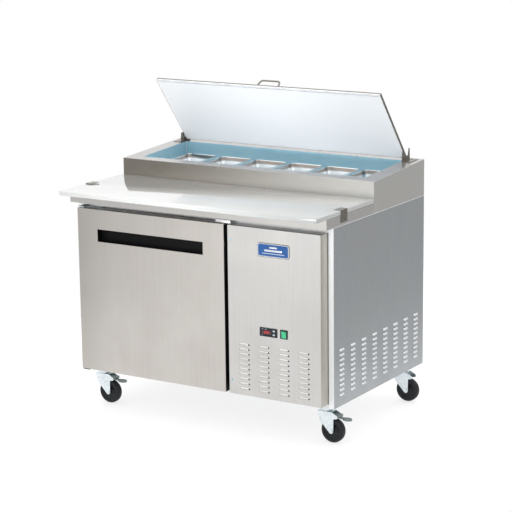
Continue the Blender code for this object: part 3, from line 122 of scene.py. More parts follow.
@dataclass(frozen=True)
class Finish:
    """A surface whose colour drifts softly between two tones, over a relief that each kind of finish draws.

    tone and shade are the two sRGB colours, cloud_mm is the size of the soft patches between them, and drift
    is how far the roughness wanders with them. relief_mm is the height of the relief.
    """

    title: str
    tone: str
    shade: str
    roughness: float
    metallic: float = 0.0
    cloud_mm: float = 180.0
    drift: float = 0.05
    relief_mm: float = 0.05
    strength: float = 0.5
    coat: float = 0.0
    specular: float = 0.5
    ior: float | None = None

    def coords(self, tree: Tree) -> Socket:
        """The table's own coordinates in metres."""
        return add_node(tree, "ShaderNodeTexCoord").outputs["Object"]

    def relief(self, tree: Tree, coords: Socket) -> Socket:
        """The finish's fine relief, from nought to one.

        Args:
            tree: the material's node tree.
            coords: object coordinates.

        Returns:
            The socket of the height.
        """
        grain = {"Vector": coords, "Scale": 900.0, "Detail": 2.0}
        return add_node(tree, "ShaderNodeTexNoise", grain).outputs["Fac"]

    def colour(self, tree: Tree, cloud: Socket, height: Socket) -> Socket:
        """The two tones mixed by the soft patches, with a breath of the relief in it.

        Args:
            tree: the material's node tree.
            cloud: the soft patches, from nought to one.
            height: the relief, from nought to one.

        Returns:
            The socket of the colour.
        """
        spread = {"Value": cloud, "From Min": 0.32, "From Max": 0.68}
        patches = add_node(tree, "ShaderNodeMapRange", spread).outputs["Result"]
        share = add_node(tree, "ShaderNodeMath", {0: patches, 1: height, 2: height}, operation="MULTIPLY_ADD")
        less = {0: share.outputs[0], 1: 0.4}
        lowered = add_node(tree, "ShaderNodeMath", less, operation="SUBTRACT", use_clamp=True)
        tones = {0: lowered.outputs[0], 6: linear(self.tone), 7: linear(self.shade)}
        return add_node(tree, "ShaderNodeMix", tones, data_type="RGBA").outputs[2]

    def material(self) -> bpy.types.Material:
        """Build the finish as a material, once, and give the same one after that.

        Returns:
            The material.
        """
        ready = bpy.data.materials.get(self.title)
        if ready:
            return ready
        made = bpy.data.materials.new(self.title)
        made.use_nodes = True
        tree = made.node_tree
        shader = tree.nodes["Principled BSDF"]
        coords = self.coords(tree)
        patches = {"Vector": coords, "Scale": 1000.0 / self.cloud_mm, "Detail": 3.0, "Roughness": 0.55}
        cloud = add_node(tree, "ShaderNodeTexNoise", patches).outputs["Fac"]
        height = self.relief(tree, coords)
        tree.links.new(self.colour(tree, cloud, height), shader.inputs["Base Color"])
        low, high = max(self.roughness - self.drift, 0.02), self.roughness + self.drift
        wander = {"Value": cloud, "From Min": 0.3, "From Max": 0.7, "To Min": low, "To Max": high}
        rough = add_node(tree, "ShaderNodeMapRange", wander).outputs["Result"]
        tree.links.new(rough, shader.inputs["Roughness"])
        bump = {"Height": height, "Distance": self.relief_mm * MM, "Strength": self.strength}
        tree.links.new(add_node(tree, "ShaderNodeBump", bump).outputs["Normal"], shader.inputs["Normal"])
        shader.inputs["Metallic"].default_value = self.metallic
        shader.inputs["Coat Weight"].default_value = self.coat
        shader.inputs["Specular IOR Level"].default_value = self.specular
        if self.ior:
            shader.inputs["IOR"].default_value = self.ior
        self.extras(shader)
        made.diffuse_color = linear(self.tone)
        return made

    def extras(self, shader: Node) -> None:
        """Set what only some finishes have."""


@dataclass(frozen=True)
class BrushedSteel(Finish):
    """Stainless sheet, brushed along one axis: long faint streaks that spread a highlight across the grain.

    The real grit lines are about 0.2 mm apart. They are drawn 2.5 mm wide, so that they show at all.
    """

    metallic: float = 1.0
    grain: Axis = Axis.X
    streak_mm: float = 2.5
    run_mm: float = 260.0

    def relief(self, tree: Tree, coords: Socket) -> Socket:
        """Noise squeezed across the grain and stretched along it.

        Args:
            tree: the material's node tree.
            coords: object coordinates.

        Returns:
            The socket of the height.
        """
        per_metre = [1000.0 / self.streak_mm] * 3
        per_metre[self.grain.value] = 1000.0 / self.run_mm
        stretched = add_node(tree, "ShaderNodeMapping", {"Vector": coords, "Scale": per_metre})
        streaks = {"Vector": stretched.outputs["Vector"], "Scale": 1.0, "Detail": 4.0, "Roughness": 0.6}
        return add_node(tree, "ShaderNodeTexNoise", streaks).outputs["Fac"]


@dataclass(frozen=True)
class ShadedSteel(BrushedSteel):
    """Brushed sheet with painted shade: the front face darker towards one end, and the faces behind it
    greyer.

    dull is the sRGB colour of the painted shade at the front face's left end: the change runs along X from
    start to stop, in metres, on what lies before front. ledge is the painted shade on all that lies behind
    it, but not on the end face beyond side.
    """

    dull: str = "#808080"
    ledge: str = "#dedcdf"
    start: float = -0.6
    stop: float = 0.5
    front: float = 0.010
    side: float = 0.583

    def colour(self, tree: Tree, cloud: Socket, height: Socket) -> Socket:
        """The steel's own colour, with painted shade towards the left end and on the faces behind the front.

        Args:
            tree: the material's node tree.
            cloud: the soft patches, from nought to one.
            height: the relief, from nought to one.

        Returns:
            The socket of the colour.
        """
        plain = super().colour(tree, cloud, height)
        parts = add_node(tree, "ShaderNodeSeparateXYZ", {0: self.coords(tree)})
        run = {"Value": parts.outputs["X"], "From Min": self.start, "From Max": self.stop}
        share = add_node(tree, "ShaderNodeMapRange", run, interpolation_type="SMOOTHSTEP").outputs["Result"]
        depth = {"Value": parts.outputs["Y"], "From Min": self.front, "From Max": self.front + 0.002}
        behind = add_node(tree, "ShaderNodeMapRange", depth).outputs["Result"]
        share = add_node(tree, "ShaderNodeMath", {0: share, 1: behind}, operation="MAXIMUM").outputs[0]
        ends = {0: share, 6: linear(self.dull), 7: plain}
        face = add_node(tree, "ShaderNodeMix", ends, data_type="RGBA").outputs[2]
        edge = {"Value": parts.outputs["X"], "From Min": self.side, "From Max": self.side + 0.001}
        edge |= {"To Min": 1.0, "To Max": 0.0}
        inside = add_node(tree, "ShaderNodeMapRange", edge).outputs["Result"]
        # painted shade: the faces behind the front take the greyer colour, the end face beyond side does not
        top = add_node(tree, "ShaderNodeMath", {0: inside, 1: behind}, operation="MULTIPLY").outputs[0]
        tint = {0: top, 6: face, 7: linear(self.ledge)}
        return add_node(tree, "ShaderNodeMix", tint, data_type="RGBA", blend_type="MULTIPLY").outputs[2]


@dataclass(frozen=True)
class ReturnedSteel(BrushedSteel):
    """Brushed sheet with a colour of its own past a fold: painted light and shade, set for how the light
    falls on that face.

    edge is the sRGB colour there. It covers all that lies further than beyond, in metres, in the direction
    towards. edge_metal is how metallic the sheet is there.
    """

    edge: str = "#808080"
    towards: Direction = (1.0, 0.0, 0.0)
    beyond: float = 0.0
    edge_metal: float = 1.0

    def past(self, tree: Tree) -> Socket:
        """One past the fold, and nought before it.

        Args:
            tree: the material's node tree.

        Returns:
            The socket of the share.
        """
        way = {0: self.coords(tree), 1: self.towards}
        place = add_node(tree, "ShaderNodeVectorMath", way, operation="DOT_PRODUCT").outputs["Value"]
        fold = {0: place, 1: self.beyond}
        return add_node(tree, "ShaderNodeMath", fold, operation="GREATER_THAN").outputs[0]

    def colour(self, tree: Tree, cloud: Socket, height: Socket) -> Socket:
        """The steel's own colour, with the return's painted light and shade past the fold."""
        ends = {0: self.past(tree), 6: super().colour(tree, cloud, height), 7: linear(self.edge)}
        return add_node(tree, "ShaderNodeMix", ends, data_type="RGBA").outputs[2]

    def extras(self, shader: Node) -> None:
        """Past the fold the sheet can be made less of a mirror, so that its painted light shows as an even
        colour.

        Args:
            shader: the material's shader node.
        """
        if self.edge_metal == self.metallic:
            return
        tree = shader.id_data
        share = {"Value": self.past(tree), "To Min": self.metallic, "To Max": self.edge_metal}
        metal = add_node(tree, "ShaderNodeMapRange", share).outputs["Result"]
        tree.links.new(metal, shader.inputs["Metallic"])


@dataclass(frozen=True)
class DrawnPan(BrushedSteel):
    """Deep-drawn pan steel, with painted shade on the pans' rear walls between the floor and the rim.

    low and high are the heights in metres between which the floor's tone gives way to the wall's painted
    shade, and rim is the height above which the steel's own tone comes back. The painted shade lies only on
    the wall past the place rear, in metres.
    """

    # painted shade on the pans' rear walls
    wall: str = "#8f8a86"
    low: float = 0.951
    high: float = 0.958
    rim: float = 0.9700
    rear: float = 0.30

    def colour(self, tree: Tree, cloud: Socket, height: Socket) -> Socket:
        """The steel's own colour below and on the rim, with the wall's painted shade between.

        Args:
            tree: the material's node tree.
            cloud: the soft patches, from nought to one.
            height: the relief, from nought to one.

        Returns:
            The socket of the colour.
        """
        plain = super().colour(tree, cloud, height)
        parts = add_node(tree, "ShaderNodeSeparateXYZ", {0: self.coords(tree)})
        level = parts.outputs["Z"]
        climb = {"Value": level, "From Min": self.low, "From Max": self.high}
        above = add_node(tree, "ShaderNodeMapRange", climb).outputs["Result"]
        climb = {"Value": level, "From Min": self.rim, "From Max": self.rim + 0.0008}
        climb |= {"To Min": 1.0, "To Max": 0.0}
        below = add_node(tree, "ShaderNodeMapRange", climb).outputs["Result"]
        band = add_node(tree, "ShaderNodeMath", {0: above, 1: below}, operation="MULTIPLY").outputs[0]
        depth = {"Value": parts.outputs["Y"], "From Min": self.rear - 0.05, "From Max": self.rear - 0.015}
        behind = add_node(tree, "ShaderNodeMapRange", depth, interpolation_type="SMOOTHSTEP")
        wall = {0: band, 1: behind.outputs["Result"]}
        band = add_node(tree, "ShaderNodeMath", wall, operation="MULTIPLY").outputs[0]
        ends = {0: band, 6: plain, 7: linear(self.wall)}
        return add_node(tree, "ShaderNodeMix", ends, data_type="RGBA").outputs[2]


@dataclass(frozen=True)
class EmbossedSheet(Finish):
    """Stucco-embossed aluminium: small rounded dents that break its reflections into a sparkle."""

    metallic: float = 1.0
    dent_mm: float = 4.0

    def relief(self, tree: Tree, coords: Socket) -> Socket:
        """Distance to scattered points, smoothed: one dent to a point."""
        dents = {"Vector": coords, "Scale": 1000.0 / self.dent_mm, "Smoothness": 0.6}
        return add_node(tree, "ShaderNodeTexVoronoi", dents, feature="SMOOTH_F1").outputs["Distance"]


@dataclass(frozen=True)
class PlatedSteel(Finish):
    """Bright zinc plate: cool and nearly white, with the faint crystal patches of the plating bath."""

    metallic: float = 1.0
    crystal_mm: float = 7.0

    def relief(self, tree: Tree, coords: Socket) -> Socket:
        """Distance to scattered points: one shallow facet to each crystal."""
        crystals = {"Vector": coords, "Scale": 1000.0 / self.crystal_mm}
        return add_node(tree, "ShaderNodeTexVoronoi", crystals, feature="F1").outputs["Distance"]


@dataclass(frozen=True)
class FilmedSteel(Finish):
    """Sheet under its protective film: a soft plastic sheen with long shallow creases."""

    metallic: float = 0.15
    crease_mm: float = 60.0

    def relief(self, tree: Tree, coords: Socket) -> Socket:
        """Slow waves with a finer wrinkle on them.

        Args:
            tree: the material's node tree.
            coords: object coordinates.

        Returns:
            The socket of the height.
        """
        per_metre = [1000.0 / self.crease_mm, 1000.0 / self.crease_mm, 4000.0 / self.crease_mm]
        drawn_out = add_node(tree, "ShaderNodeMapping", {"Vector": coords, "Scale": per_metre})
        creases = {"Vector": drawn_out.outputs["Vector"], "Scale": 1.0, "Detail": 4.0, "Distortion": 0.8}
        return add_node(tree, "ShaderNodeTexNoise", creases).outputs["Fac"]


@dataclass(frozen=True)
class CuttingBoard(Finish):
    """Smooth white polyethylene: a waxy gloss crossed by fine knife marks that run every way.

    worn is the sRGB colour of painted shade at the right end, where less light falls on the board. The change
    to it runs from start to stop.
    """

    mark_mm: float = 9.0
    worn: str = "#b4b6b5"
    start: float = -0.50
    stop: float = 0.45

    def colour(self, tree: Tree, cloud: Socket, height: Socket) -> Socket:
        """The board's white, greyer towards its right end: painted shade.

        Args:
            tree: the material's node tree.
            cloud: the soft patches, from nought to one.
            height: the relief, from nought to one.

        Returns:
            The socket of the colour.
        """
        plain = super().colour(tree, cloud, height)
        place = add_node(tree, "ShaderNodeSeparateXYZ", {0: self.coords(tree)}).outputs["X"]
        run = {"Value": place, "From Min": self.start, "From Max": self.stop}
        share = add_node(tree, "ShaderNodeMapRange", run, interpolation_type="SMOOTHSTEP").outputs["Result"]
        ends = {0: share, 6: plain, 7: linear(self.worn)}
        return add_node(tree, "ShaderNodeMix", ends, data_type="RGBA").outputs[2]

    def relief(self, tree: Tree, coords: Socket) -> Socket:
        """Thin lines where stretched noise crosses its middle value.

        Args:
            tree: the material's node tree.
            coords: object coordinates.

        Returns:
            The socket of the height.
        """
        per_metre = [1000.0 / self.mark_mm, 180.0 / self.mark_mm, 1.0]
        slant = {"Vector": coords, "Scale": per_metre, "Rotation": (0, 0, 0.5)}
        slanted = add_node(tree, "ShaderNodeMapping", slant)
        scored = {"Vector": slanted.outputs["Vector"], "Scale": 1.0, "Detail": 1.0}
        noise = add_node(tree, "ShaderNodeTexNoise", scored).outputs["Fac"]
        off = add_node(tree, "ShaderNodeMath", {0: noise, 1: 0.5}, operation="SUBTRACT")
        away = add_node(tree, "ShaderNodeMath", {0: off.outputs[0]}, operation="ABSOLUTE")
        line = {"Value": away.outputs[0], "From Min": 0.0, "From Max": 0.012, "To Min": 0.75, "To Max": 0.25}
        return add_node(tree, "ShaderNodeMapRange", line).outputs["Result"]

    def extras(self, shader: Node) -> None:
        """Polyethylene passes a little light below its skin."""
        shader.inputs["Subsurface Weight"].default_value = 0.06
        shader.inputs["Subsurface Scale"].default_value = 2.0 * MM


@dataclass(frozen=True)
class LitSurface(Finish):
    """A translucent moulding with a lamp behind it, or a floor that is lit from all round."""

    glow: str = "#ffffff"
    power: float = 0.5

    def extras(self, shader: Node) -> None:
        """Let the surface give off a colour of its own."""
        shader.inputs["Emission Color"].default_value = linear(self.glow)
        shader.inputs["Emission Strength"].default_value = self.power


@dataclass(frozen=True)
class Foam(Finish):
    """Foamed-in-place urethane: a dry skin pitted by its bubbles."""

    bubble_mm: float = 3.0

    def relief(self, tree: Tree, coords: Socket) -> Socket:
        """Round pits at scattered points."""
        pits = {"Vector": coords, "Scale": 1000.0 / self.bubble_mm}
        return add_node(tree, "ShaderNodeTexVoronoi", pits).outputs["Distance"]


# The door and cover take vertical brushing, the long horizontal pieces take it along their length.
# Painted shade: the door's front darkens towards its left end, where it reflects the dim surroundings.
DOOR_STEEL = ShadedSteel(
    "brushed_steel_door",
    "#cbc7c2",
    "#c0bbb6",
    0.36,
    grain=Axis.Z,
    strength=0.3,
    dull="#bcb8b3",
    start=-0.60,
    stop=-0.40,
    front=0.5,
)
# Painted light: the cover's return past its right fold takes a warmer grey of its own, set for how the light
# falls on it.
COVER_STEEL = ReturnedSteel(
    "brushed_steel_cover",
    "#cecdcb",
    "#c5c3c0",
    0.36,
    grain=Axis.Z,
    strength=0.25,
    edge="#c4c0b8",
    beyond=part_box("front_panel")[1].x - 0.0006,
)
# Painted highlight: the side sheet's front return is near white and hardly metallic.
SIDE_STEEL = ReturnedSteel(
    "brushed_steel_side",
    "#b9bcbe",
    "#aeb2b5",
    0.42,
    grain=Axis.Z,
    edge="#f2f4f6",
    edge_metal=0.08,
    towards=(0.0, -1.0, 0.0),
    beyond=-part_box("right_side_panel")[0].y - 0.0012,
)
# Painted light: the hoods take a brighter copy of the sheet's steel, so that they stand out from the sheet as
# if their tops caught the light.
LOUVRE_STEEL = BrushedSteel("pressed_louvre_steel", "#e6e8ea", "#d8dbde", 0.30, grain=Axis.Z)
# Painted shade: the rail's front darkens towards its left end, where it reflects the dim surroundings, and
# its top faces are greyer.
RAIL_STEEL = ShadedSteel("brushed_steel_rail", "#d8d8d5", "#cccac6", 0.30, dull="#87827a", stop=0.9)
TOP_STEEL = BrushedSteel("brushed_steel_top", "#d2d0cd", "#c6c4c1", 0.30, grain=Axis.X)
FRAME_STEEL = BrushedSteel("brushed_steel_frame", "#e2e3e4", "#d2d3d5", 0.30, grain=Axis.Z)
LID_NORMAL = Vector((0.0, math.sin(LID_REST), math.cos(LID_REST)))
# Painted shade and light: the lid's sheet takes a darker tone than the other steel for its shaded lips, and
# past the fold its outer face takes a lighter colour.
LID_STEEL = ReturnedSteel(
    "brushed_steel_lid",
    "#8a867f",
    "#7e7a73",
    0.30,
    grain=Axis.X,
    edge="#c6c3bf",
    towards=tuple(LID_NORMAL),
    beyond=LID_NORMAL.dot(Vector(JOINTS["lid_hinge"]["pos_m"])) + 0.0064,
)
# Rolled and not brushed, so it stays smooth and throws back nearly all the light.
BRIGHT_STEEL = BrushedSteel("bright_rolled_steel", "#f4f6f8", "#e8ebee", 0.42, grain=Axis.X, drift=0.03)
# Painted shade: the pans' rear walls are darker between the floor and the rim.
PAN_STEEL = DrawnPan(
    "drawn_pan_steel",
    "#eef2f5",
    "#dfe4e8",
    0.20,
    grain=Axis.Y,
    streak_mm=5.0,
    rear=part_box("food_pan_1")[1].y,
)
# Pickled wire and small pressings: greyer than the sheets, with a tight highlight.
WIRE_STEEL = BrushedSteel("pickled_wire_steel", "#8e8c86", "#787670", 0.28, grain=Axis.Z, streak_mm=1.0)
BRACKET_STEEL = BrushedSteel("worn_bracket_steel", "#8f8b84", "#79756e", 0.26, grain=Axis.Y, streak_mm=1.0)
LINER_METAL = EmbossedSheet("stucco_aluminium", "#dcdfe2", "#cfd3d6", 0.42, relief_mm=0.25)
# Zinc plate, clear and blue passivated, beside two dark coats that hide the steel's shine.
ZINC = PlatedSteel("bright_zinc_plate", "#e6edf0", "#cfd9de", 0.30, relief_mm=0.008, cloud_mm=40.0)
BLUE_ZINC = PlatedSteel("blue_passivated_zinc", "#a4cbd6", "#8cb7c5", 0.28, relief_mm=0.02, cloud_mm=10.0)
PEDAL_COAT = Finish("grey_green_lever_coat", "#7c8989", "#66726f", 0.42, 0.25, cloud_mm=25.0, relief_mm=0.08)
DARK_HINGE = Finish("dark_phosphated_steel", "#4b4b48", "#393937", 0.48, 0.6, cloud_mm=20.0)
# Thin polyethylene film: the white one is matt enough to show as one even field, the blue one is creased.
LID_FILM = FilmedSteel(
    "white_protective_film", "#eaedf0", "#e7ebee", 0.34, 0.0, cloud_mm=420.0, relief_mm=0.12
)
FILM = FilmedSteel("blue_protective_film", "#9ac3d2", "#8cb9ca", 0.34, relief_mm=0.5, cloud_mm=150.0)
# Painted shade: the board greys towards its right end.
BOARD = CuttingBoard(
    "white_polyethylene", "#cfd0cf", "#c5c7c6", 0.12, drift=0.03, relief_mm=0.03, coat=0.9, ior=1.51
)
# Injection mouldings: a fine even grain and a weak highlight. The seal is matt, and soft to look at.
BLACK_PLASTIC = Finish("black_abs_moulding", "#0a0a0c", "#121214", 0.45, relief_mm=0.06, specular=0.10)
SLATE_PLASTIC = Finish("slate_abs_moulding", "#20252b", "#292e35", 0.40, relief_mm=0.06, specular=0.25)
SOFT_SEAL = Finish("grey_pvc_seal", "#5d6061", "#4d5051", 0.62, relief_mm=0.05, ior=1.52)
# Moulded tread over a nylon hub: the tread is scuffed and the hub has a tighter shine.
TYRE = Finish("black_wheel_rubber", "#1c1f22", "#282c30", 0.50, relief_mm=0.12, cloud_mm=18.0, specular=0.22)
HUB = Finish("black_nylon_hub", "#16191b", "#212529", 0.34, relief_mm=0.05, cloud_mm=12.0, specular=0.25)
# Fired enamel in a polished rim: deep colour under a clear gloss.
BADGE_BLUE = Finish("blue_enamel", "#17508f", "#13457f", 0.25, cloud_mm=30.0, coat=0.2, relief_mm=0.01)
BADGE_RIM = BrushedSteel("bright_badge_rim", "#f3f6fa", "#e2e7ec", 0.25, streak_mm=0.8)
# Tinted lenses with a lamp behind them, and the soft keys beside them.
DISPLAY = LitSurface("red_display_window", "#3c1218", "#47181f", 0.14, glow="#701722", power=0.10, coat=0.5)
DIGITS = LitSurface("lit_red_digits", "#b42b36", "#a0242f", 0.3, glow="#ff3a46", power=0.55)
ROCKER_GREEN = LitSurface(
    "green_rocker_lens", "#2bb07d", "#229a6b", 0.16, coat=0.6, glow="#22c884", power=0.18
)
KEY_GREY = Finish("pale_key_rubber", "#b9c6ce", "#a4b2bb", 0.45, relief_mm=0.03, cloud_mm=6.0)
FOAM = Foam("urethane_foam", "#d9c68b", "#c7b377", 0.9, relief_mm=1.0)
# Machine parts: sprayed enamel, fin stock and tube, with the dipped coat of the shelf.
ENAMEL = Finish("black_machine_enamel", "#222223", "#2d2d2e", 0.36, relief_mm=0.1, coat=0.2)
FINS = BrushedSteel("aluminium_fin_stock", "#a8a9a8", "#8f908f", 0.40, grain=Axis.Z, streak_mm=1.2)
COPPER = BrushedSteel("drawn_copper_tube", "#b9795a", "#9f6248", 0.30, grain=Axis.X, streak_mm=1.0)
SHELF_COAT = Finish("white_epoxy_coat", "#eceeed", "#e0e3e2", 0.30, relief_mm=0.08, cloud_mm=30.0, coat=0.3)
# Its own light keeps the shadows on it pale.
FLOOR = LitSurface(
    "pale_studio_floor", "#9e9e9e", "#9c9c9c", 0.85, relief_mm=0.02, cloud_mm=900.0, power=0.68
)


# ---------------------------------------------------------------- surfaces


def mesh_object(name: str, points: np.ndarray, faces: np.ndarray | list, smooth: bool = True) -> Piece:
    """Make an object at the origin from points and faces.

    Args:
        name: the piece's name.
        points: an array of places, one row to a point.
        faces: rows of point numbers.
        smooth: whether the shading runs on over soft edges.

    Returns:
        The object, linked to the scene.
    """
    mesh = bpy.data.meshes.new(name)
    mesh.from_pydata(points, [], faces)
    mesh.update()
    if smooth:
        mesh.shade_smooth()
        mesh.set_sharp_from_angle(angle=FOLD_ANGLE)
    piece = bpy.data.objects.new(name, mesh)
    bpy.context.scene.collection.objects.link(piece)
    return piece


def grid_faces(copies: int, rows: int, columns: int, round_rows: bool, round_columns: bool) -> np.ndarray:
    """Quads over several grids of points that follow one another.

    Args:
        copies: how many grids there are.
        rows: points along the first direction of one grid.
        columns: points along its second direction.
        round_rows: whether the last row joins the first.
        round_columns: whether the last column joins the first.

    Returns:
        Four point numbers to a quad.
    """
    i = np.arange(rows if round_rows else rows - 1)
    j = np.arange(columns if round_columns else columns - 1)
    i, j = np.meshgrid(i, j, indexing="ij")
    next_j = (j + 1) % columns
    row, next_row = i * columns, (i + 1) % rows * columns
    quad = np.stack([row + j, next_row + j, next_row + next_j, row + next_j], -1)
    start = np.arange(copies)[:, None, None] * rows * columns
    return (quad.reshape(1, -1, 4) + start).reshape(-1, 4)


def surface(
    name: str,
    points: np.ndarray,
    round_rows: bool = False,
    round_columns: bool = False,
    caps: bool = False,
    flip: bool = False,
) -> Piece:
    """A skin over one grid of points, or over several alike.

    Args:
        name: the piece's name.
        points: an array shaped (rows, columns, 3), or (copies, rows, columns, 3).
        round_rows: whether the last row joins the first.
        round_columns: whether the last column joins the first.
        caps: whether the first and last rows are closed by a face.
        flip: whether to turn the faces round.

    Returns:
        The object.
    """
    grids = points if points.ndim == 4 else points[None]
    copies, rows, columns, _ = grids.shape
    faces = grid_faces(copies, rows, columns, round_rows, round_columns).tolist()
    if caps:
        ring = np.arange(columns)
        for copy in range(copies):
            start = copy * rows * columns
            faces.append((ring + start).tolist())
            faces.append((ring[::-1] + start + (rows - 1) * columns).tolist())
    if flip:
        faces = [face[::-1] for face in faces]
    return mesh_object(name, grids.reshape(-1, 3), faces)


def facing_out(piece: Piece) -> Piece:
    """Turn a closed piece's faces outwards.

    Args:
        piece: the object.

    Returns:
        The object.
    """
    shape = bmesh.new()
    shape.from_mesh(piece.data)
    bmesh.ops.remove_doubles(shape, verts=shape.verts, dist=1e-6)
    bmesh.ops.recalc_face_normals(shape, faces=shape.faces)
    shape.to_mesh(piece.data)
    shape.free()
    return piece


def rounded_loop(half_a: np.ndarray, half_b: np.ndarray, corner: np.ndarray, steps: int = 8) -> np.ndarray:
    """Rectangles with round corners, one to each entry of the arguments.

    The loop is four quarter circles of the corner radius about the corners' own centres, joined by straight
    runs.

    Args:
        half_a: half widths.
        half_b: half heights.
        corner: corner radii.
        steps: parts to a quarter circle.

    Returns:
        An array shaped (entries, 4 * (steps + 1), 2).
    """
    quarter = np.linspace(0.0, math.pi / 2, steps + 1)
    angle = np.concatenate([quarter + math.pi / 2 * k for k in range(4)])
    sign_a = np.repeat([1, -1, -1, 1], steps + 1)
    sign_b = np.repeat([1, 1, -1, -1], steps + 1)
    half_a, half_b, corner = (np.atleast_1d(v)[:, None] for v in (half_a, half_b, corner))
    a = sign_a * (half_a - corner) + corner * np.cos(angle)
    b = sign_b * (half_b - corner) + corner * np.sin(angle)
    return np.stack([a, b], -1)


def framed(
    name: str,
    centre: Vector,
    halves: tuple[float, float],
    corner: float,
    profile: Section,
    axis: Axis,
    caps: bool = False,
    closed: bool = False,
    steps: int = 6,
) -> Piece:
    """A profile carried round a rectangle with round corners.

    Each profile point is (outward, along): how far the loop stands outside the rectangle, and where along the
    axis it lies. The surface is the loops of all profile points, joined in order.

    Args:
        name: the piece's name.
        centre: the rectangle's middle.
        halves: the rectangle's half sizes, in axis order.
        corner: its corner radius.
        profile: the points of the section.
        axis: the direction that the rectangle faces.
        caps: whether the first and last loops are closed by a face.
        closed: whether the last loop joins the first.
        steps: parts to a quarter circle.

    Returns:
        The object.
    """
    section = np.array(profile, float)
    out, along = section[:, 0], section[:, 1]
    radius = np.maximum(corner + out, 0.0002)
    loops = rounded_loop(halves[0] + out, halves[1] + out, radius, steps)
    flat = [k for k in range(3) if k != axis.value]
    points = np.zeros((*loops.shape[:2], 3))
    points[..., flat] = loops
    points[..., axis.value] = along[:, None]
    piece = surface(name, points + np.array(centre), round_rows=closed, round_columns=True, caps=caps)
    return facing_out(piece)


def turned(
    name: str, centre: Vector, axis: Axis, profile: Section, steps: int = 48, closed: bool = False
) -> Piece:
    """A profile of (radius, along) points spun round an axis through a centre.

    Args:
        name: the piece's name.
        centre: a point on the axis, where along is nought.
        axis: the direction of the axis.
        profile: the section.
        steps: parts to the full turn.
        closed: whether the profile is a closed loop.

    Returns:
        The object.
    """
    section = np.array(profile, float)
    angle = np.linspace(0.0, 2 * math.pi, steps, endpoint=False)
    flat = [k for k in range(3) if k != axis.value]
    points = np.zeros((len(section), steps, 3))
    points[..., flat[0]] = section[:, :1] * np.cos(angle)
    points[..., flat[1]] = section[:, :1] * np.sin(angle)
    points[..., axis.value] = section[:, 1:]
    return facing_out(surface(name, points + np.array(centre), round_rows=closed, round_columns=True))


def tubes(name: str, paths: np.ndarray, radius: float, normal: Direction, sides: int = 12) -> Piece:
    """Round bars along flat paths: a circle about each path point, square to the path.

    The circle's two directions are the plane's normal and the cross product of the path's tangent with it.

    Args:
        name: the piece's name.
        paths: an array shaped (bars, points, 3).
        radius: the bars' radius.
        normal: a direction square to every path.
        sides: points round a bar.

    Returns:
        The object.
    """
    tangent = np.gradient(paths, axis=1)
    tangent /= np.linalg.norm(tangent, axis=-1, keepdims=True)
    up = np.broadcast_to(np.array(normal, float), paths.shape)
    side = np.cross(tangent, up)
    side /= np.linalg.norm(side, axis=-1, keepdims=True)
    angle = np.linspace(0, 2 * math.pi, sides, endpoint=False)[:, None]
    ring = np.cos(angle) * side[:, :, None] + np.sin(angle) * up[:, :, None]
    return facing_out(surface(name, paths[:, :, None] + radius * ring, round_columns=True, caps=True))


def softened(node: str, radius_mm: float = 0.6, segments: int = 2) -> Piece:
    """A copy of a frame solid, its flat faces made whole again and its edges rounded like folded sheet.

    Args:
        node: the solid's name.
        radius_mm: the width of the rounding.
        segments: parts across the rounding.

    Returns:
        The object.
    """
    shape = bmesh.new()
    shape.from_mesh(frame["nodes"][node].data)
    bmesh.ops.remove_doubles(shape, verts=shape.verts, dist=5e-6)
    bmesh.ops.dissolve_limit(shape, angle_limit=math.radians(0.6), verts=shape.verts, edges=shape.edges)
    mesh = bpy.data.meshes.new(f"{node}_finished")
    shape.to_mesh(mesh)
    shape.free()
    piece = bpy.data.objects.new(f"{node}_finished", mesh)
    bpy.context.scene.collection.objects.link(piece)
    mesh.shade_smooth()
    mesh.set_sharp_from_angle(angle=FOLD_ANGLE)
    edges = piece.modifiers.new("rounded_edges", "BEVEL")
    edges.width = radius_mm * MM
    edges.segments = segments
    edges.limit_method = "ANGLE"
    edges.angle_limit = FOLD_ANGLE
    edges.harden_normals = True
    return piece


def walled(piece: Piece, thickness: float, offset: float = 0.0) -> Piece:
    """Give an open skin its wall.

    Args:
        piece: the skin.
        thickness: the wall's thickness.
        offset: where the wall lies: 0 for both sides of the skin alike, -1 for all of it behind the skin.

    Returns:
        The piece.
    """
    wall = piece.modifiers.new("wall", "SOLIDIFY")
    wall.thickness = thickness
    wall.offset = offset
    return piece


def dress(piece: Piece, finish: Finish, body: str, slot: str, *nodes: str) -> Piece:
    """Give a piece its finish and its body, and hide the solids that it stands for.

    Args:
        piece: the object.
        finish: what its surface is.
        body: the body that it moves with.
        slot: the record's material slot, not used.
        nodes: the solids that it replaces.

    Returns:
        The piece.
    """
    piece.data.materials.clear()
    piece.data.materials.append(finish.material())
    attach(piece, body)
    if nodes:
        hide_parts(*nodes)
    log.info("%s: %s, %d faces", piece.name, finish.title, len(piece.data.polygons))
    return piece


def refined(node: str, finish: Finish, body: str, slot: str, radius_mm: float = 0.6) -> Piece:
    """Round a solid's edges and dress the copy in the solid's place."""
    return dress(softened(node, radius_mm), finish, body, slot, node)


def middle(node: str) -> tuple[Vector, Vector]:
    """The centre and the half sizes of a solid's box."""
    low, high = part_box(node)
    return (low + high) / 2, (high - low) / 2


# ---------------------------------------------------------------- the table's assemblies


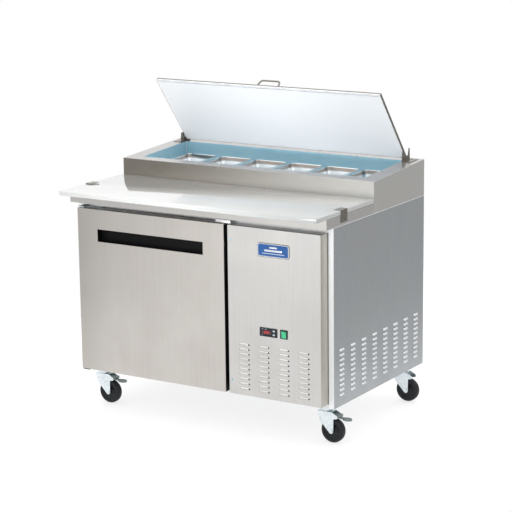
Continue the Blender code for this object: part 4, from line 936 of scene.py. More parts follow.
@dataclass
class Cabinet:
    """Outer skins, front frame, base tray with its bulkhead, foam and liner."""

    body: str = "cabinet"

    def skins(self) -> None:
        """The folded sheets that show."""
        refined("left_side_panel", SIDE_STEEL, self.body, "outer_steel")
        refined("right_side_panel", SIDE_STEEL, self.body, "outer_steel")
        refined("back_panel", SIDE_STEEL, self.body, "outer_steel", 0.3)
        refined("front_frame", FRAME_STEEL, self.body, "outer_steel", 1.0)
        refined("base_frame", FRAME_STEEL, self.body, "outer_steel", 0.5)
        refined("cord_gland", BLACK_PLASTIC, self.body, "black_plastic", 0.5)

    def seams(self) -> None:
        """The bright bead where the side sheet is folded over under the worktop and the rail."""
        low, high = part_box("right_side_panel")
        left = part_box("left_side_panel")[0].x
        paths = np.zeros((2, 6, 3))
        paths[..., 0] = np.array([high.x - 0.0004, left + 0.0004])[:, None]
        paths[..., 1] = np.linspace(low.y + 0.001, high.y - 0.001, 6)
        paths[..., 2] = high.z - 0.0006
        dress(tubes("side_top_beads", paths, 0.0010, (0, 0, 1), 10), BRIGHT_STEEL, self.body, "outer_steel")

    def lining(self) -> None:
        """What an open door shows: the embossed liner, with the foam behind it."""
        refined("cabinet_liner", LINER_METAL, self.body, "liner_metal", 0.5)
        refined("insulation_core", FOAM, self.body, "foam", 1.0)

    def build(self) -> None:
        """Make the whole cabinet."""
        self.skins()
        self.seams()
        self.lining()


@dataclass
class LouvreBank:
    """Rows of hoods pressed out of a sheet over its slots.

    A hood is a dome over a grid (u along the slot, v down it). Its height is
    depth * ramp(u) * sin(v * pi / 2): it leaves the sheet smoothly at the top and the closed ends, and stands
    open below.

    columns and rows are the middles of the slots and width is a slot's length. face is where the sheet's
    surface lies on the axis, and outward is the sign of the way out. A hood reaches above and below its
    slot's middle, and before and after the slot's ends, by the distances of those names.
    """

    name: str
    columns: np.ndarray
    rows: np.ndarray
    width: float
    face: float
    outward: float
    axis: Axis
    depth: float = 0.0045
    above: float = 0.0060
    below: float = 0.0026
    before: float = 0.0030
    after: float = 0.0030
    closed_end: bool = True
    sheet: float = 0.0007
    steps_u: int = 12
    steps_v: int = 4

    def points(self) -> np.ndarray:
        """Every hood's grid at once, shaped (hoods, u, v, 3).

        Returns:
            The hoods' places.
        """
        u = np.linspace(0.0, 1.0, self.steps_u + 1)
        v = np.linspace(0.0, 1.0, self.steps_v + 1)
        ramp = np.sqrt(np.clip(1.0 - (1.0 - np.clip(u / 0.22, 0.0, 1.0)) ** 2, 0.0, 1.0))
        if self.closed_end:
            ramp = ramp * ramp[::-1]
        start, stop = -self.width / 2 - self.before, self.width / 2 + self.after
        rise = self.depth * ramp[:, None] * np.sin(v * math.pi / 2)[None, :]
        along = start + (stop - start) * u
        across, rows = np.meshgrid(self.columns, self.rows, indexing="ij")
        across, rows = across.ravel(), rows.ravel()
        points = np.zeros((len(across), len(u), len(v), 3))
        flat = Axis.X.value if self.axis is Axis.Y else Axis.Y.value
        points[..., flat] = across[:, None, None] + along[None, :, None]
        points[..., self.axis.value] = self.face + self.outward * (rise[None] - 0.0003)
        points[..., Axis.Z.value] = rows[:, None, None] + self.above - v * (self.above + self.below)
        return points

    def build(self, finish: Finish, body: str) -> Piece:
        """Make the bank as one object.

        Args:
            finish: what its surface is.
            body: the body that it moves with.

        Returns:
            The bank.
        """
        turned_in = (self.axis is Axis.Y) == (self.outward > 0)
        hoods = walled(surface(self.name, self.points(), flip=not turned_in), self.sheet, -1.0)
        return dress(hoods, finish, body, "outer_steel")


@dataclass
class Worktop:
    """The steel deck, the cutting board on it and the two clips that hold the board."""

    body: str = "cabinet"

    def build(self) -> None:
        """Make deck, board and clips."""
        refined("worktop", TOP_STEEL, self.body, "outer_steel", 1.0)
        dress(softened("cutting_board", 1.2, 3), BOARD, "board", "board_plastic", "cutting_board")
        refined("left_board_clip", BRACKET_STEEL, self.body, "bright_steel", 0.5)
        refined("right_board_clip", BRACKET_STEEL, self.body, "bright_steel", 0.5)


@dataclass
class PanRail:
    """The raised rail with its film-covered well, and the food pans that hang in the rack.

    wall is the pans' sheet, rim the width of their rolled edge, corner the radius of their upright corners,
    taper how far the wall leans in, and fillet the radius at the floor. seam is the radius of the beads in
    the well's corners.
    """

    body: str = "cabinet"
    pans: int = 6
    wall: float = 0.0008
    rim: float = 0.0085
    corner: float = 0.020
    taper: float = 0.006
    fillet: float = 0.014
    seam: float = 0.0014

    def pan(self, number: int) -> None:
        """One drawn pan: rounded rectangles from the rolled rim down the tapered wall and over the floor.

        Args:
            number: which pan, counted from the left.
        """
        node = f"food_pan_{number}"
        centre, half = middle(node)
        deep = 2 * half.z - 1.5 * self.wall
        turn = np.linspace(0.0, math.pi / 2, 7)
        edge = self.wall * 1.3
        rim = self.rim
        inset = np.array([edge, edge, edge + 0.0004, edge + 0.0014, rim - 0.0018, rim - 0.0005, rim])
        drop = np.array([0.0024, 0.0010, 0.0003, 0.0, 0.0, 0.0005, 0.0020])
        round_in = rim + self.taper + self.fillet * (1 - np.cos(turn))
        round_down = deep - self.fillet * (1 - np.sin(turn))
        floor_in = np.array([0.45, 0.70, 0.90, 0.985]) * half.x
        inset = np.concatenate([inset, round_in, floor_in])
        drop = np.concatenate([drop, round_down, np.full(len(floor_in), deep)])
        radius = np.clip(self.corner - np.clip(inset - rim, 0, None) * 0.35, 0.0006, None)
        radius[:4] = self.corner / 2
        radius = np.minimum(radius, half.x - inset)
        loops = rounded_loop(half.x - inset, half.y - inset, radius, 7)
        points = np.zeros((*loops.shape[:2], 3))
        points[..., :2] = loops
        points[..., 2] = half.z - drop[:, None]
        faces = grid_faces(1, len(inset), loops.shape[1], False, True).tolist()
        ring = np.arange(loops.shape[1]) + (len(inset) - 1) * loops.shape[1]
        faces.append(ring[::-1].tolist())
        faces = [face[::-1] for face in faces]
        piece = mesh_object(f"{node}_drawn", points.reshape(-1, 3) + np.array(centre), faces)
        dress(walled(piece, self.wall, -1.0), PAN_STEEL, f"pan_{number}", "bright_steel", node)

    def seams(self) -> None:
        """The welded upright corners of the well."""
        centre, half = middle("rail_liner")
        low, high = centre.z, centre.z + half.z - 0.004
        x = half.x - 0.0024
        ends = np.array([[-x, low], [x, low], [-x, high], [x, high]])
        paths = np.zeros((2, 6, 3))
        paths[..., 0] = centre.x + ends[:2, :1]
        paths[..., 1] = centre.y + half.y - 0.0024
        paths[..., 2] = np.linspace(low, high, 6)
        seams = tubes("well_corner_seams", paths, self.seam, (0, 1, 0))
        dress(seams, BRIGHT_STEEL, self.body, "bright_steel")

    def build(self) -> None:
        """Make rail, well, rack and pans."""
        refined("rail_housing", RAIL_STEEL, self.body, "outer_steel", 1.0)
        refined("rail_liner", FILM, self.body, "blue_film", 0.5)
        refined("pan_rack", FRAME_STEEL, self.body, "bright_steel", 0.8)
        self.seams()
        for number in range(1, self.pans + 1):
            self.pan(number)


@dataclass
class Lid:
    """The thin lid propped open, its wire pull, and the two notched brackets that it turns in.

    The pull is laid out with the lid flat, then turned about the hinge axis by the rest angle. half_width,
    standoff, bend, splay and wire are its own sizes, reach is its distance from the hinge and foot is the
    height that it stands on. underside and lip place the fold of the film, and film is the film's thickness.
    """

    rest: float = LID_REST
    half_width: float = 0.053
    standoff: float = 0.04134
    bend: float = 0.012
    splay: float = 0.006
    wire: float = 0.0036
    reach: float = 0.3535
    foot: float = 0.0073
    underside: float = -0.0050
    lip: float = 0.0175
    film: float = 0.0002

    def tilted(self, points: np.ndarray) -> np.ndarray:
        """Turn points of the flat lid about the hinge axis to where it rests.

        Args:
            points: places from the hinge axis, with the lid lying towards the front.

        Returns:
            The places in the table's frame.
        """
        pivot = np.array(JOINTS["lid_hinge"]["pos_m"])
        pivot[0] = middle("lid_outer_skin")[0].x
        cos, sin = math.cos(self.rest), math.sin(self.rest)
        turn = np.array([[1, 0, 0], [0, cos, sin], [0, -sin, cos]])
        return points @ turn.T + pivot

    def wire_path(self) -> np.ndarray:
        """The pull's centre line: a splayed leg, a quarter turn, the grip, and the same again in mirror.

        Returns:
            The places, shaped (1, points, 3).
        """
        turn = np.linspace(0.0, math.pi / 2, 10)
        leg = np.stack([np.full(3, -self.half_width), np.linspace(0.0, 0.006, 3)], -1)
        arc_x = -self.half_width + self.splay + self.bend * (1 - np.cos(turn))
        arc_z = self.standoff - self.bend + self.bend * np.sin(turn)
        left = np.concatenate([leg, np.stack([arc_x, arc_z], -1)])
        flat = np.concatenate([left, (left * [-1, 1])[::-1]])
        path = np.zeros((1, len(flat), 3))
        path[0, :, 0] = flat[:, 0]
        path[0, :, 1] = -self.reach
        path[0, :, 2] = self.foot + flat[:, 1]
        return path

    def pull(self) -> None:
        """The bent wire, and the little flanges that fasten it."""
        along = self.tilted(np.array([[0.0, 1.0, 0.0]]))[0] - self.tilted(np.zeros((1, 3)))[0]
        wire = tubes("lid_pull_wire", self.tilted(self.wire_path()), self.wire, tuple(along), 14)
        dress(wire, WIRE_STEEL, "lid", "bright_steel", "lid_handle")
        angle = np.linspace(0, 2 * math.pi, 24, endpoint=False)
        radius = np.array([0.0037, 0.0072, 0.0078, 0.0078, 0.0072, 0.0037])
        height = np.array([0.0022, 0.0018, 0.0012, 0.0001, 0.0, 0.0])
        grids = np.zeros((2, len(radius), len(angle), 3))
        grids[..., 0] = radius[:, None] * np.cos(angle)
        grids[..., 0] += np.array([-self.half_width, self.half_width])[:, None, None]
        grids[..., 1] = radius[:, None] * np.sin(angle) - self.reach
        grids[..., 2] = height[:, None] + self.foot - 0.0002
        flanges = surface("lid_pull_flanges", self.tilted(grids), round_rows=True, round_columns=True)
        dress(facing_out(flanges), WIRE_STEEL, "lid", "bright_steel")

    def film_fold(self) -> None:
        """The underside's film, folded up over the front lip: an L-shaped section swept across the lid."""
        low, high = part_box("lid_inner_panel")
        half = (high.x - low.x) / 2 + 0.0010
        face = self.reach + self.lip
        out = np.array([0.0100, 0.0014, 0.0003, -0.0003, -0.0003])[:, None]
        up = np.array([-0.0001, -0.0002, 0.0003, 0.0016, 0.0058])[:, None]
        across = np.linspace(-half, half, 33)
        grid = np.zeros((1, len(out), len(across), 3))
        grid[..., 0] = across
        grid[..., 1] = out - face
        grid[..., 2] = up + self.underside
        fold = walled(surface("lid_film_fold", self.tilted(grid)), self.film)
        dress(fold, LID_FILM, "lid", "bright_steel")

    def build(self) -> None:
        """Make lid, pull and brackets."""
        self.film_fold()
        refined("lid_outer_skin", LID_STEEL, "lid", "outer_steel", 0.5)
        refined("lid_inner_panel", LID_FILM, "lid", "bright_steel", 0.4)
        self.pull()
        refined("lid_hinge_left", BRACKET_STEEL, "cabinet", "bright_steel", 0.4)
        refined("lid_hinge_right", BRACKET_STEEL, "cabinet", "bright_steel", 0.4)


@dataclass
class Door:
    """The insulated door: brushed shell, moulded pocket pull, liner with a stamped field, bellows seal.

    The field lies field_margin in from the liner's edges and stands field_depth proud of it.
    """

    body: str = "door"
    seal_width: float = 0.014
    field_margin: float = 0.042
    field_depth: float = 0.008

    def seal(self) -> None:
        """The magnetic gasket: a dart-footed bellows section carried round the door."""
        centre, half = middle("door_gasket")
        w, d = self.seal_width, half.y
        section = [(-0.0010, -d), (-0.0130, -d), (-0.0130, -d + 0.0022), (-0.0088, -d + 0.0034)]
        section += [(-0.0122, -d + 0.0052), (-0.0136, -d + 0.0070), (-0.0136, d - 0.0010), (-0.0126, d)]
        section += [(-0.0014, d), (-0.0004, d - 0.0010), (-0.0004, -d + 0.0070), (-0.0020, -d + 0.0052)]
        section += [(-0.0052, -d + 0.0034), (-0.0010, -d + 0.0022)]
        halves = (half.x, half.z)
        ring = framed("door_seal", centre, halves, w + 0.001, section, Axis.Y, closed=True)
        dress(ring, SOFT_SEAL, self.body, "gasket_rubber", "door_gasket")

    def field(self) -> None:
        """The stamped field in the door's liner."""
        centre, half = middle("door_inner_panel")
        inner = (half.x - self.field_margin, half.z - self.field_margin)
        low = half.y - 0.0003
        top = self.field_depth + half.y
        profile = [(0.004, low), (0.0015, low + 0.0006), (0.0, low + 0.002), (-0.002, top - 0.002)]
        profile += [(-0.0035, top - 0.0006), (-0.006, top)]
        piece = framed("door_liner_field", centre, inner, 0.020, profile, Axis.Y, caps=True)
        dress(piece, LINER_METAL, self.body, "liner_metal")

    def edge_trim(self) -> None:
        """A black strip on the door's free edge: painted shade for the dark gap between the door and the
        cover.
        """
        low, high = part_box("door_shell")
        centre = Vector((high.x, (low.y + high.y) / 2 + 0.0008, (low.z + high.z) / 2))
        halves = ((high.y - low.y) / 2 - 0.0018, (high.z - low.z) / 2 - 0.002)
        profile = [(0.0, -0.0004), (0.0, 0.0003), (-0.0004, 0.0006)]
        trim = framed("door_gap_painted_shade", centre, halves, 0.002, profile, Axis.X, caps=True)
        dress(trim, BLACK_PLASTIC, self.body, "black_plastic")

    def build(self) -> None:
        """Make the door and the two hinges that carry it."""
        refined("door_shell", DOOR_STEEL, self.body, "outer_steel", 1.0)
        refined("door_handle", BLACK_PLASTIC, self.body, "black_plastic", 0.8)
        refined("door_inner_panel", LINER_METAL, self.body, "liner_metal", 0.4)
        self.field()
        self.seal()
        self.edge_trim()
        refined("door_hinge_top", ZINC, "cabinet", "zinc", 0.5)
        refined("door_hinge_bottom", DARK_HINGE, "cabinet", "pedal_steel", 0.5)


@dataclass
class MachineCover:
    """The louvred front cover of the machine bay, with badge, controller and rocker switch.

    digits are the figures that the display shows and segments are the bars that each of them lights. window
    is the display's half size. Each of the marks is (across, up, half length) from the controller's middle.
    """

    body: str = "cabinet"
    screw_radius: float = 0.0046
    badge_corner: float = 0.009
    digits: str = "380"
    segments: dict[str, str] = field(default_factory=lambda: {"3": "abcdg", "8": "abcdefg", "0": "abcdef"})
    figure_height: float = 0.0092
    window: tuple[float, float] = (0.0218, 0.0078)
    marks: tuple[tuple[float, float, float], ...] = (
        (-0.026, 0.0125, 0.003),
        (-0.010, 0.0125, 0.004),
        (-0.027, -0.0125, 0.002),
    )

    def cover(self) -> None:
        """The cover sheet and its pan-head screws."""
        refined("front_panel", COVER_STEEL, self.body, "outer_steel", 0.8)
        low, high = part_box("front_panel")
        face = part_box("door_shell")[0].y
        for name, z in (("upper", high.z - 0.057), ("lower", low.z + 0.057)):
            r = self.screw_radius
            head = [(0.0002, -0.0021), (r * 0.35, -0.0020), (r * 0.75, -0.0016), (r, -0.0007), (r, 0.0004)]
            screw = turned(f"cover_screw_{name}", Vector((low.x + 0.014, face, z)), Axis.Y, head, 24)
            dress(screw, BLUE_ZINC, self.body, "outer_steel")

    def edge_seal(self) -> None:
        """The thin black strip that closes the joint between the cover and the side sheet."""
        low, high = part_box("front_panel")
        path = np.zeros((1, 6, 3))
        path[..., 0] = high.x + 0.0005
        path[..., 1] = high.y - 0.0002
        path[..., 2] = np.linspace(low.z, high.z, 6)
        strip = tubes("cover_edge_seal", path, 0.0011, (0, 1, 0), 8)
        dress(strip, BLACK_PLASTIC, self.body, "black_plastic")

    def badge(self) -> None:
        """A domed blue enamel plate in a bright rim ringed by painted shadow, with a plain crest, bar and
        line as its only marks.
        """
        centre, half = middle("badge")
        halves = (half.x, half.z)
        d = half.y
        rim = [(0.0, d), (0.0, -d + 0.0008), (-0.0008, -d)]
        rim += [(-0.0022, -d), (-0.0030, -d + 0.0008), (-0.0030, d)]
        ring = framed("badge_rim", centre, halves, self.badge_corner, rim, Axis.Y, closed=True)
        dress(ring, BADGE_RIM, self.body, "badge_enamel", "badge")
        plate = [(-0.0028, d), (-0.0028, -d + 0.0012), (-0.0040, -d + 0.0008), (-0.0100, -d + 0.0004)]
        enamel = framed("badge_enamel", centre, halves, self.badge_corner, plate, Axis.Y, caps=True)
        dress(enamel, BADGE_BLUE, self.body, "badge_enamel")
        # Painted shadow: a grey ring just outside the rim, where the raised badge throws its shadow.
        tape = [(0.0002, d), (0.0002, d - 0.0014), (0.0019, d - 0.0014), (0.0019, d)]
        edge = framed("badge_painted_shadow", centre, halves, self.badge_corner, tape, Axis.Y, closed=True)
        dress(edge, SOFT_SEAL, self.body, "badge_enamel")
        marks = {
            "crest": (-0.0115, 0.017, 0.0030),
            "bar": (0.0010, 0.040, 0.0034),
            "line": (0.0125, 0.050, 0.0009),
        }
        for name, (drop, half_x, half_z) in marks.items():
            strip = [(0.0, 0.0006), (0.0, 0.0), (-0.0004, -0.0002)]
            place = Vector((centre.x, centre.y - d + 0.0003, centre.z - drop))
            mark = framed(f"badge_{name}", place, (half_x, half_z), half_z * 0.9, strip, Axis.Y, caps=True)
            dress(mark, BADGE_RIM, self.body, "badge_enamel")

    def number(self, window: Vector) -> None:
        """The lit figures: bars with pointed ends, set out as seven-segment digits.

        Args:
            window: the middle of the display's face.
        """
        h = self.figure_height
        w, t = h * 0.52, h * 0.13
        places = {"a": (0, h / 2, 0), "b": (w / 2, h / 4, 1), "c": (w / 2, -h / 4, 1), "d": (0, -h / 2, 0)}
        places |= {"e": (-w / 2, -h / 4, 1), "f": (-w / 2, h / 4, 1), "g": (0, 0, 0)}
        bars = [
            (index, *places[segment])
            for index, digit in enumerate(self.digits)
            for segment in self.segments[digit]
        ]
        table = np.array(bars, float)
        length = np.where(table[:, 3] > 0, h / 2, w) * 0.44
        outline = np.array([[-1, 0], [-1, 1], [1, 1], [1, 0], [1, -1], [-1, -1]], float)
        tip = np.array([1.0, 0.8, 0.8, 1.0, 0.8, 0.8])
        along = outline[None, :, 0] * tip * length[:, None]
        across = np.broadcast_to(outline[:, 1] * t / 2, along.shape)
        upright = table[:, 3:4] > 0
        shift = (table[:, 0:1] - (len(self.digits) - 1) / 2) * w * 1.75
        a = np.where(upright, across, along) + table[:, 1:2] + shift
        b = np.where(upright, along, across) + table[:, 2:3]
        points = np.zeros((len(bars), 2, 6, 3))
        points[..., 0] = window.x + a[:, None]
        points[..., 2] = window.z + b[:, None]
        points[..., 1] = window.y + np.array([0.0, -0.0003])[None, :, None]
        figures = facing_out(surface("lit_figures", points, round_columns=True, caps=True))
        dress(figures, DIGITS, self.body, "black_plastic")

    def controller(self) -> None:
        """Case, tinted window with its figures, printed marks as small raised dots, and two keys."""
        refined("controller_housing", SLATE_PLASTIC, self.body, "black_plastic", 0.6)
        low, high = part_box("controller_housing")
        centre = (low + high) / 2
        face = low.y
        window = Vector((centre.x - 0.008, face + 0.0006, centre.z))
        glass = [(0.0, 0.0003), (0.0, 0.0), (-0.0008, -0.0002)]
        pane = framed("display_window", window, self.window, 0.0012, glass, Axis.Y, caps=True)
        dress(pane, DISPLAY, self.body, "black_plastic")
        self.number(window + Vector((0.0, -0.0003, 0.0)))
        dot = [(0.0, 0.0004), (0.0, -0.0001), (-0.0003, -0.0002)]
        for index, (x, z, half_x) in enumerate(self.marks):
            place = Vector((centre.x + x, face, centre.z + z))
            mark = framed(f"controller_mark_{index}", place, (half_x, 0.0010), 0.0009, dot, Axis.Y, caps=True)
            dress(mark, KEY_GREY, self.body, "black_plastic")
        for number, body in ((1, "key_upper"), (2, "key_lower")):
            spot, half = middle(f"controller_key_{number}")
            d = half.y
            cap = [(0.0, d), (0.0, -d + 0.0006), (-0.0006, -d + 0.0001), (-0.0018, -d)]
            key = framed(f"key_cap_{number}", spot, (half.x, half.z), 0.0030, cap, Axis.Y, caps=True)
            dress(key, KEY_GREY, body, "key_plastic", f"controller_key_{number}")

    def build(self) -> None:
        """Make the cover and all that it carries."""
        self.cover()
        self.edge_seal()
        self.badge()
        self.controller()
        refined("switch_housing", SLATE_PLASTIC, self.body, "black_plastic", 0.5)
        refined("switch_rocker", ROCKER_GREEN, "rocker", "rocker_lens", 0.6)


@dataclass
class Rotor:
    """A fan: a turned hub with blades that twist and sweep as they reach out.

    A blade point at share r of the way out and s across it stands at the angle
    (s - 0.5) * chord * (0.8 + 0.4 * r) + sweep * r, and 0.5 - s times the pitch along the axis, with a little
    camber added as the cosine of its place across the blade.
    """

    node: str
    body: str
    slot: str
    finish: Finish
    blades: int = 5
    chord: float = 0.75
    sweep: float = 0.35
    sheet: float = 0.0012

    def build(self) -> None:
        """Make hub and blades."""
        centre, half = middle(self.node)
        pivot = JOINTS[f"{self.body}_spin"]["pos_m"]
        centre = Vector((pivot[0], centre.y, pivot[2]))
        radius, deep = half.z * 0.97, half.y
        hub = radius * 0.27
        r = np.linspace(0.0, 1.0, 9)[:, None]
        s = np.linspace(0.0, 1.0, 9)[None, :]
        reach = hub * 0.9 + (radius - hub * 0.9) * r
        angle = (s - 0.5) * self.chord * (0.8 + 0.4 * r) + self.sweep * r
        lift = (0.5 - s) * deep * 1.5 * (1.05 - 0.25 * r) + 0.1 * deep * np.cos((s - 0.5) * math.pi)
        start = 2 * math.pi * np.arange(self.blades) / self.blades
        turn = start[:, None, None] + angle[None]
        points = np.zeros((self.blades, 9, 9, 3))
        points[..., 0] = reach * np.cos(turn)
        points[..., 2] = reach * np.sin(turn)
        points[..., 1] = lift
        vanes = walled(surface(f"{self.node}_blades", points + np.array(centre)), self.sheet)
        dress(vanes, self.finish, self.body, self.slot, self.node)
        profile = [(0.0004, -deep), (hub * 0.7, -deep), (hub * 0.95, -deep * 0.8), (hub, -deep * 0.5)]
        profile += [(hub, deep * 0.9), (hub * 0.9, deep), (0.0004, deep)]
        dress(turned(f"{self.node}_hub", centre, Axis.Y, profile, 36), self.finish, self.body, self.slot)


@dataclass
class MachineBay:
    """Compressor, finned condenser, and the shroud with its motor and fan.

    fin is half the drawn thickness of a fin and tube is the radius of a tube.
    """

    body: str = "cabinet"
    fin_pitch: float = 0.006
    fin: float = 0.0004
    tube: float = 0.0048
    tube_rows: int = 9

    def condenser(self) -> None:
        """Upright fins between two cheeks, threaded by straight rows of copper tube."""
        centre, half = middle("condenser_coil")
        half_x = half.x - 0.007
        count = int(2 * half_x / self.fin_pitch)
        x = np.linspace(-half_x, half_x, count)
        corner = np.array([[-1, -1], [1, -1], [1, 1], [-1, 1]], float)
        fins = np.zeros((count, 2, 4, 3))
        fins[..., 0] = centre.x + x[:, None, None] + self.fin * np.array([-1, 1])[None, :, None]
        fins[..., 1] = centre.y + 0.0015 + (half.y - 0.004) * corner[:, 0]
        fins[..., 2] = centre.z - 0.002 + (half.z - 0.005) * corner[:, 1]
        stack = facing_out(surface("condenser_fins", fins, round_columns=True, caps=True))
        dress(stack, FINS, self.body, "coil_metal", "condenser_coil")
        cheeks = np.zeros((2, 2, 4, 3))
        cheeks[..., 0] = centre.x + (half.x - 0.003) * np.array([-1, 1])[:, None, None]
        cheeks[..., 0] += 0.0012 * np.array([-1, 1])[None, :, None]
        cheeks[..., 1] = centre.y + half.y * corner[:, 0]
        cheeks[..., 2] = centre.z + half.z * corner[:, 1]
        plates = facing_out(surface("condenser_cheeks", cheeks, round_columns=True, caps=True))
        dress(plates, FRAME_STEEL, self.body, "coil_metal")
        z = np.linspace(centre.z - half.z + 0.025, centre.z + half.z - 0.025, self.tube_rows)
        runs = np.zeros((self.tube_rows, 5, 3))
        runs[..., 0] = centre.x + np.linspace(-half.x + 0.001, half.x - 0.001, 5)
        runs[..., 1] = centre.y
        runs[..., 2] = z[:, None]
        dress(tubes("condenser_tubes", runs, self.tube, (0, 0, 1), 10), COPPER, self.body, "coil_metal")

    def build(self) -> None:
        """Make what stands in the machine bay."""
        refined("compressor", ENAMEL, self.body, "machine_black", 1.2)
        refined("fan_shroud", ENAMEL, self.body, "machine_black", 0.4)
        self.condenser()
        Rotor("condenser_fan", "condenser_fan", "coil_metal", FINS).build()


@dataclass
class ColdSide:
    """The evaporator's casing with its fan and guard, and the coated wire shelf.

    bars is how many thin wires the shelf has. The wires' sizes are radii.
    """

    body: str = "cabinet"
    bars: int = 29
    wire: float = 0.0018
    frame_wire: float = 0.0024
    guard_wire: float = 0.0013

    def shelf(self) -> None:
        """Thin wires front to back, resting on thicker cross wires and closed by a frame."""
        centre, half = middle("wire_shelf")
        x = np.linspace(-half.x + 0.006, half.x - 0.006, self.bars)
        thin = np.zeros((self.bars, 5, 3))
        thin[..., 0] = centre.x + x[:, None]
        thin[..., 1] = centre.y + np.linspace(-half.y + 0.003, half.y - 0.003, 5)
        thin[..., 2] = centre.z + half.z - self.wire
        wires = tubes("shelf_wires", thin, self.wire, (0, 0, 1), 8)
        dress(wires, SHELF_COAT, self.body, "shelf_coat", "wire_shelf")
        low = centre.z - half.z + self.frame_wire
        y = np.array([-half.y + self.frame_wire, -half.y / 3, half.y / 3, half.y - self.frame_wire])
        bars = np.zeros((len(y), 5, 3))
        bars[..., 0] = centre.x + np.linspace(-half.x + 0.002, half.x - 0.002, 5)
        bars[..., 1] = centre.y + y[:, None]
        bars[..., 2] = low
        side = np.zeros((2, 5, 3))
        side[..., 0] = centre.x + np.array([-1, 1])[:, None] * (half.x - self.frame_wire)
        side[..., 1] = centre.y + np.linspace(-half.y + 0.002, half.y - 0.002, 5)
        side[..., 2] = low
        for name, paths in (("shelf_cross_wires", bars), ("shelf_side_wires", side)):
            rods = tubes(name, paths, self.frame_wire, (0, 0, 1), 10)
            dress(rods, SHELF_COAT, self.body, "shelf_coat")

    def guard(self) -> None:
        """Rings of wire in front of the fan."""
        pivot = JOINTS["evaporator_fan_spin"]["pos_m"]
        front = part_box("evaporator_housing")[0].y - 0.0018
        radius = np.array([0.018, 0.032, 0.046, 0.060, 0.067])
        angle = np.linspace(0, 2 * math.pi, 48, endpoint=False)
        around = np.linspace(0, 2 * math.pi, 8, endpoint=False)
        ring = radius[:, None, None] + self.guard_wire * np.cos(around)[None, None, :]
        points = np.zeros((len(radius), len(angle), len(around), 3))
        points[..., 0] = pivot[0] + ring * np.cos(angle)[None, :, None]
        points[..., 1] = front + self.guard_wire * np.sin(around)[None, None, :]
        points[..., 2] = pivot[2] + ring * np.sin(angle)[None, :, None]
        rings = facing_out(surface("fan_guard_rings", points, round_rows=True, round_columns=True))
        dress(rings, SHELF_COAT, self.body, "shelf_coat")

    def build(self) -> None:
        """Make casing, fan, guard and shelf."""
        refined("evaporator_housing", LINER_METAL, self.body, "liner_metal", 0.4)
        Rotor("evaporator_fan", "evaporator_fan", "black_plastic", BLACK_PLASTIC).build()
        self.guard()
        self.shelf()


@dataclass
class Caster:
    """A swivel caster: zinc plate and fork, rubber tyre on a nylon hub, and at the front a brake pedal.

    bore is the radius of the hole for the axle and tyre_inner the radius where tyre meets hub.
    """

    corner: str
    bore: float = 0.0044
    tyre_inner: float = 0.0345

    def wheel(self) -> None:
        """Tyre and hub as turned sections about the axle."""
        node = f"caster_wheel_{self.corner}"
        centre, half = middle(node)
        r, w, t = half.z, half.y, self.tyre_inner
        side = [(r, -w * 0.30), (r - 0.0006, -w * 0.55), (r - 0.0026, -w * 0.78), (r - 0.0060, -w * 0.93)]
        side += [(t + 0.0040, -w * 0.96), (t + 0.0010, -w * 0.90), (t, -w * 0.80)]
        section = [(radius, -along) for radius, along in reversed(side)] + side
        body = f"wheel_{self.corner}"
        tyre = turned(f"tyre_{self.corner}", centre, Axis.Y, section, 64, closed=True)
        dress(tyre, TYRE, body, "tyre_rubber", node)
        b = self.bore
        cheek = [(t - 0.0002, -w * 0.80), (t - 0.0030, -w * 0.82), (t - 0.0050, -w * 0.70)]
        cheek += [(0.0165, -w * 0.58), (0.0125, -w * 0.66), (0.0110, -w * 0.97)]
        cheek += [(b + 0.0010, -w), (b, -w * 0.97)]
        section = cheek + [(radius, -along) for radius, along in reversed(cheek)]
        hub = turned(f"hub_{self.corner}", centre, Axis.Y, section, 64, closed=True)
        dress(hub, HUB, body, "tyre_rubber")

    def build(self) -> None:
        """Make the whole caster."""
        refined(f"caster_plate_{self.corner}", ZINC, "cabinet", "zinc", 0.5)
        refined(f"caster_fork_{self.corner}", ZINC, f"fork_{self.corner}", "zinc", 0.5)
        self.wheel()
        if self.corner.startswith("front"):
            refined(f"brake_pedal_{self.corner}", PEDAL_COAT, f"pedal_{self.corner}", "pedal_steel", 0.8)


# ---------------------------------------------------------------- studio


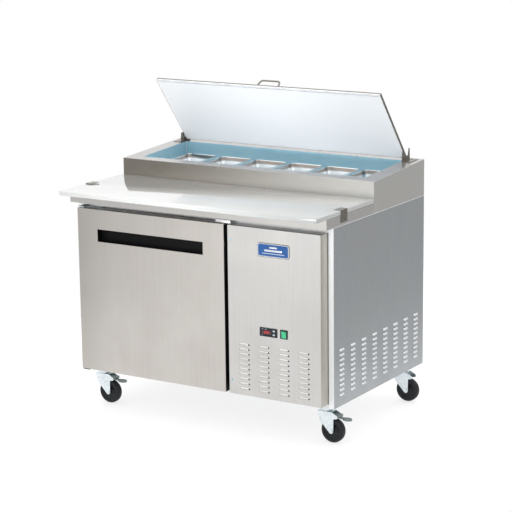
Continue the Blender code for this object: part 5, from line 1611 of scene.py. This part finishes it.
@dataclass
class Studio:
    """A pale floor in white surroundings, with soft lights and the camera.

    The surroundings darken towards the right rear, to far_side, and towards the left front, by near_side.
    """

    azimuth: float = math.radians(31.91)
    elevation: float = math.radians(12.655)
    roll: float = -0.0119
    place: Direction = (4.0206, -6.3937, 2.3367)
    lens: float = 131.87
    floor_low: tuple[float, float] = (-1.5, -4.0)
    floor_high: tuple[float, float] = (1.05, 2.6)
    surround: float = 1.0
    far_side: float = 0.50
    near_side: float = 0.72
    ceiling: float = 1.3

    def floor(self) -> None:
        """A shallow sheet with soft edges under the wheels."""
        low, high = self.floor_low, self.floor_high
        centre = Vector(((low[0] + high[0]) / 2, (low[1] + high[1]) / 2, -0.0004))
        halves = ((high[0] - low[0]) / 2, (high[1] - low[1]) / 2)
        profile = [(0.0, -0.012), (0.0, -0.002), (-0.002, 0.0)]
        piece = framed("studio_floor", centre, halves, 0.05, profile, Axis.Z, caps=True)
        piece.data.materials.append(FLOOR.material())

    def surroundings(self) -> None:
        """A white world, dimmer low down towards the right rear and towards the left front."""
        world = bpy.data.worlds.new("white_studio")
        bpy.context.scene.world = world
        world.use_nodes = True
        tree = world.node_tree
        way = add_node(tree, "ShaderNodeTexCoord").outputs["Generated"]
        side = np.array([math.sin(self.azimuth), math.cos(self.azimuth), 0.0])
        dimmed = []
        for towards, start, stop in ((side, self.surround, self.far_side), (-side, 1.0, self.near_side)):
            facing = {0: way, 1: tuple(towards)}
            turn = add_node(tree, "ShaderNodeVectorMath", facing, operation="DOT_PRODUCT")
            fall = {"Value": turn.outputs["Value"], "From Min": 0.55, "From Max": 0.95}
            fall |= {"To Min": start, "To Max": stop}
            share = add_node(tree, "ShaderNodeMapRange", fall, interpolation_type="SMOOTHSTEP")
            dimmed.append(share.outputs["Result"])
        both = add_node(tree, "ShaderNodeMath", dict(enumerate(dimmed)), operation="MULTIPLY").outputs[0]
        height = add_node(tree, "ShaderNodeSeparateXYZ", {0: way}).outputs["Z"]
        climb = {"Value": height, "From Min": 0.10, "From Max": 0.50}
        above = add_node(tree, "ShaderNodeMapRange", climb, interpolation_type="SMOOTHSTEP").outputs["Result"]
        levels = {0: above, 2: both, 3: self.ceiling}
        white = add_node(tree, "ShaderNodeMix", levels, data_type="FLOAT").outputs[0]
        tree.links.new(white, tree.nodes["Background"].inputs["Strength"])
        tree.nodes["Background"].inputs["Color"].default_value = linear("#ffffff")

    def light(
        self, name: str, place: Direction, aim: Direction, size: float, watts: float, tint: str, fan: float
    ) -> None:
        """A square soft light at a place, turned to a point, with its beam this many degrees wide.

        Args:
            name: the lamp's name.
            place: where it stands.
            aim: the point that it faces.
            size: the length of its side, in metres.
            watts: its power.
            tint: its sRGB colour.
            fan: the width of its beam in degrees.
        """
        lamp = bpy.data.lights.new(name, "AREA")
        lamp.spread = math.radians(fan)
        lamp.size = size
        lamp.energy = watts
        lamp.color = linear(tint)[:3]
        source = bpy.data.objects.new(name, lamp)
        turn = (Vector(aim) - Vector(place)).to_track_quat("-Z", "Y").to_matrix().to_4x4()
        source.matrix_world = Matrix.Translation(place) @ turn
        bpy.context.scene.collection.objects.link(source)

    def camera(self) -> None:
        """The camera, turned by azimuth, elevation and a slight roll."""
        a, e = self.azimuth, self.elevation
        back = Vector((math.sin(a) * math.cos(e), -math.cos(a) * math.cos(e), math.sin(e)))
        level = Vector((math.cos(a), math.sin(a), 0.0))
        upright = back.cross(level)
        right = math.cos(self.roll) * level + math.sin(self.roll) * upright
        up = -math.sin(self.roll) * level + math.cos(self.roll) * upright
        view = bpy.data.cameras.new("view")
        view.lens = self.lens
        view.sensor_width = 36.0
        view.clip_end = 100.0
        camera = bpy.data.objects.new("view", view)
        turn = Matrix((right, up, back)).transposed().to_4x4()
        camera.matrix_world = Matrix.Translation(self.place) @ turn
        bpy.context.scene.collection.objects.link(camera)
        bpy.context.scene.camera = camera

    def build(self) -> None:
        """Set the stage."""
        bpy.context.scene.view_settings.view_transform = "Standard"
        self.floor()
        self.surroundings()
        self.light("overhead", (0.0, -0.6, 3.6), (0.0, 0.0, 0.6), 3.5, 4.0, "#ffffff", 180.0)
        self.light("front_left", (-2.6, -3.6, 2.6), (0.0, 0.0, 0.6), 2.0, 12.0, "#fffaf4", 180.0)
        self.light("lid_fill", (0.2, -3.2, 0.86), (-0.02, 0.31, 1.20), 0.2, 2.3, "#ffffff", 34.0)
        self.camera()


def louvre_banks() -> list[LouvreBank]:
    """The three banks of louvres, set out over the slots of the cover, the right side and the back.

    Returns:
        The banks.
    """
    cover_low, cover_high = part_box("front_panel")
    side_low, side_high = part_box("right_side_panel")
    rows = cover_low.z + 0.208 - 0.0201 * np.arange(10)
    front = np.linspace(cover_low.x + 0.0735, cover_high.x - 0.0735, 4)
    side = np.linspace(side_low.y + 0.064, side_high.y - 0.070, 8)
    rear = (cover_low.x + cover_high.x) / 2 + np.array([-0.090, 0.090])
    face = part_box("door_shell")[0].y
    back = side_high.y - 0.0015
    cover_hood = {"depth": 0.0034, "before": 0.0045, "after": -0.0045, "closed_end": False}
    return [
        LouvreBank("cover_louvres", front, rows, 0.044, face, -1.0, Axis.Y, **cover_hood),
        LouvreBank("side_louvres", side, rows, 0.031, side_high.x, 1.0, Axis.X, depth=0.0065, above=0.0065),
        LouvreBank("rear_louvres", rear, rows, 0.140, back, -1.0, Axis.Y),
    ]


def main() -> None:
    """Build every assembly in order."""
    logging.basicConfig(level=logging.INFO, format="%(name)s %(message)s")
    Cabinet().build()
    for bank, finish in zip(louvre_banks(), (COVER_STEEL, LOUVRE_STEEL, SIDE_STEEL)):
        bank.build(finish, "cabinet")
    Worktop().build()
    PanRail().build()
    Lid().build()
    Door().build()
    MachineCover().build()
    MachineBay().build()
    ColdSide().build()
    for corner in CORNERS:
        Caster(corner).build()
    Studio().build()


if __name__ == "__main__":
    main()
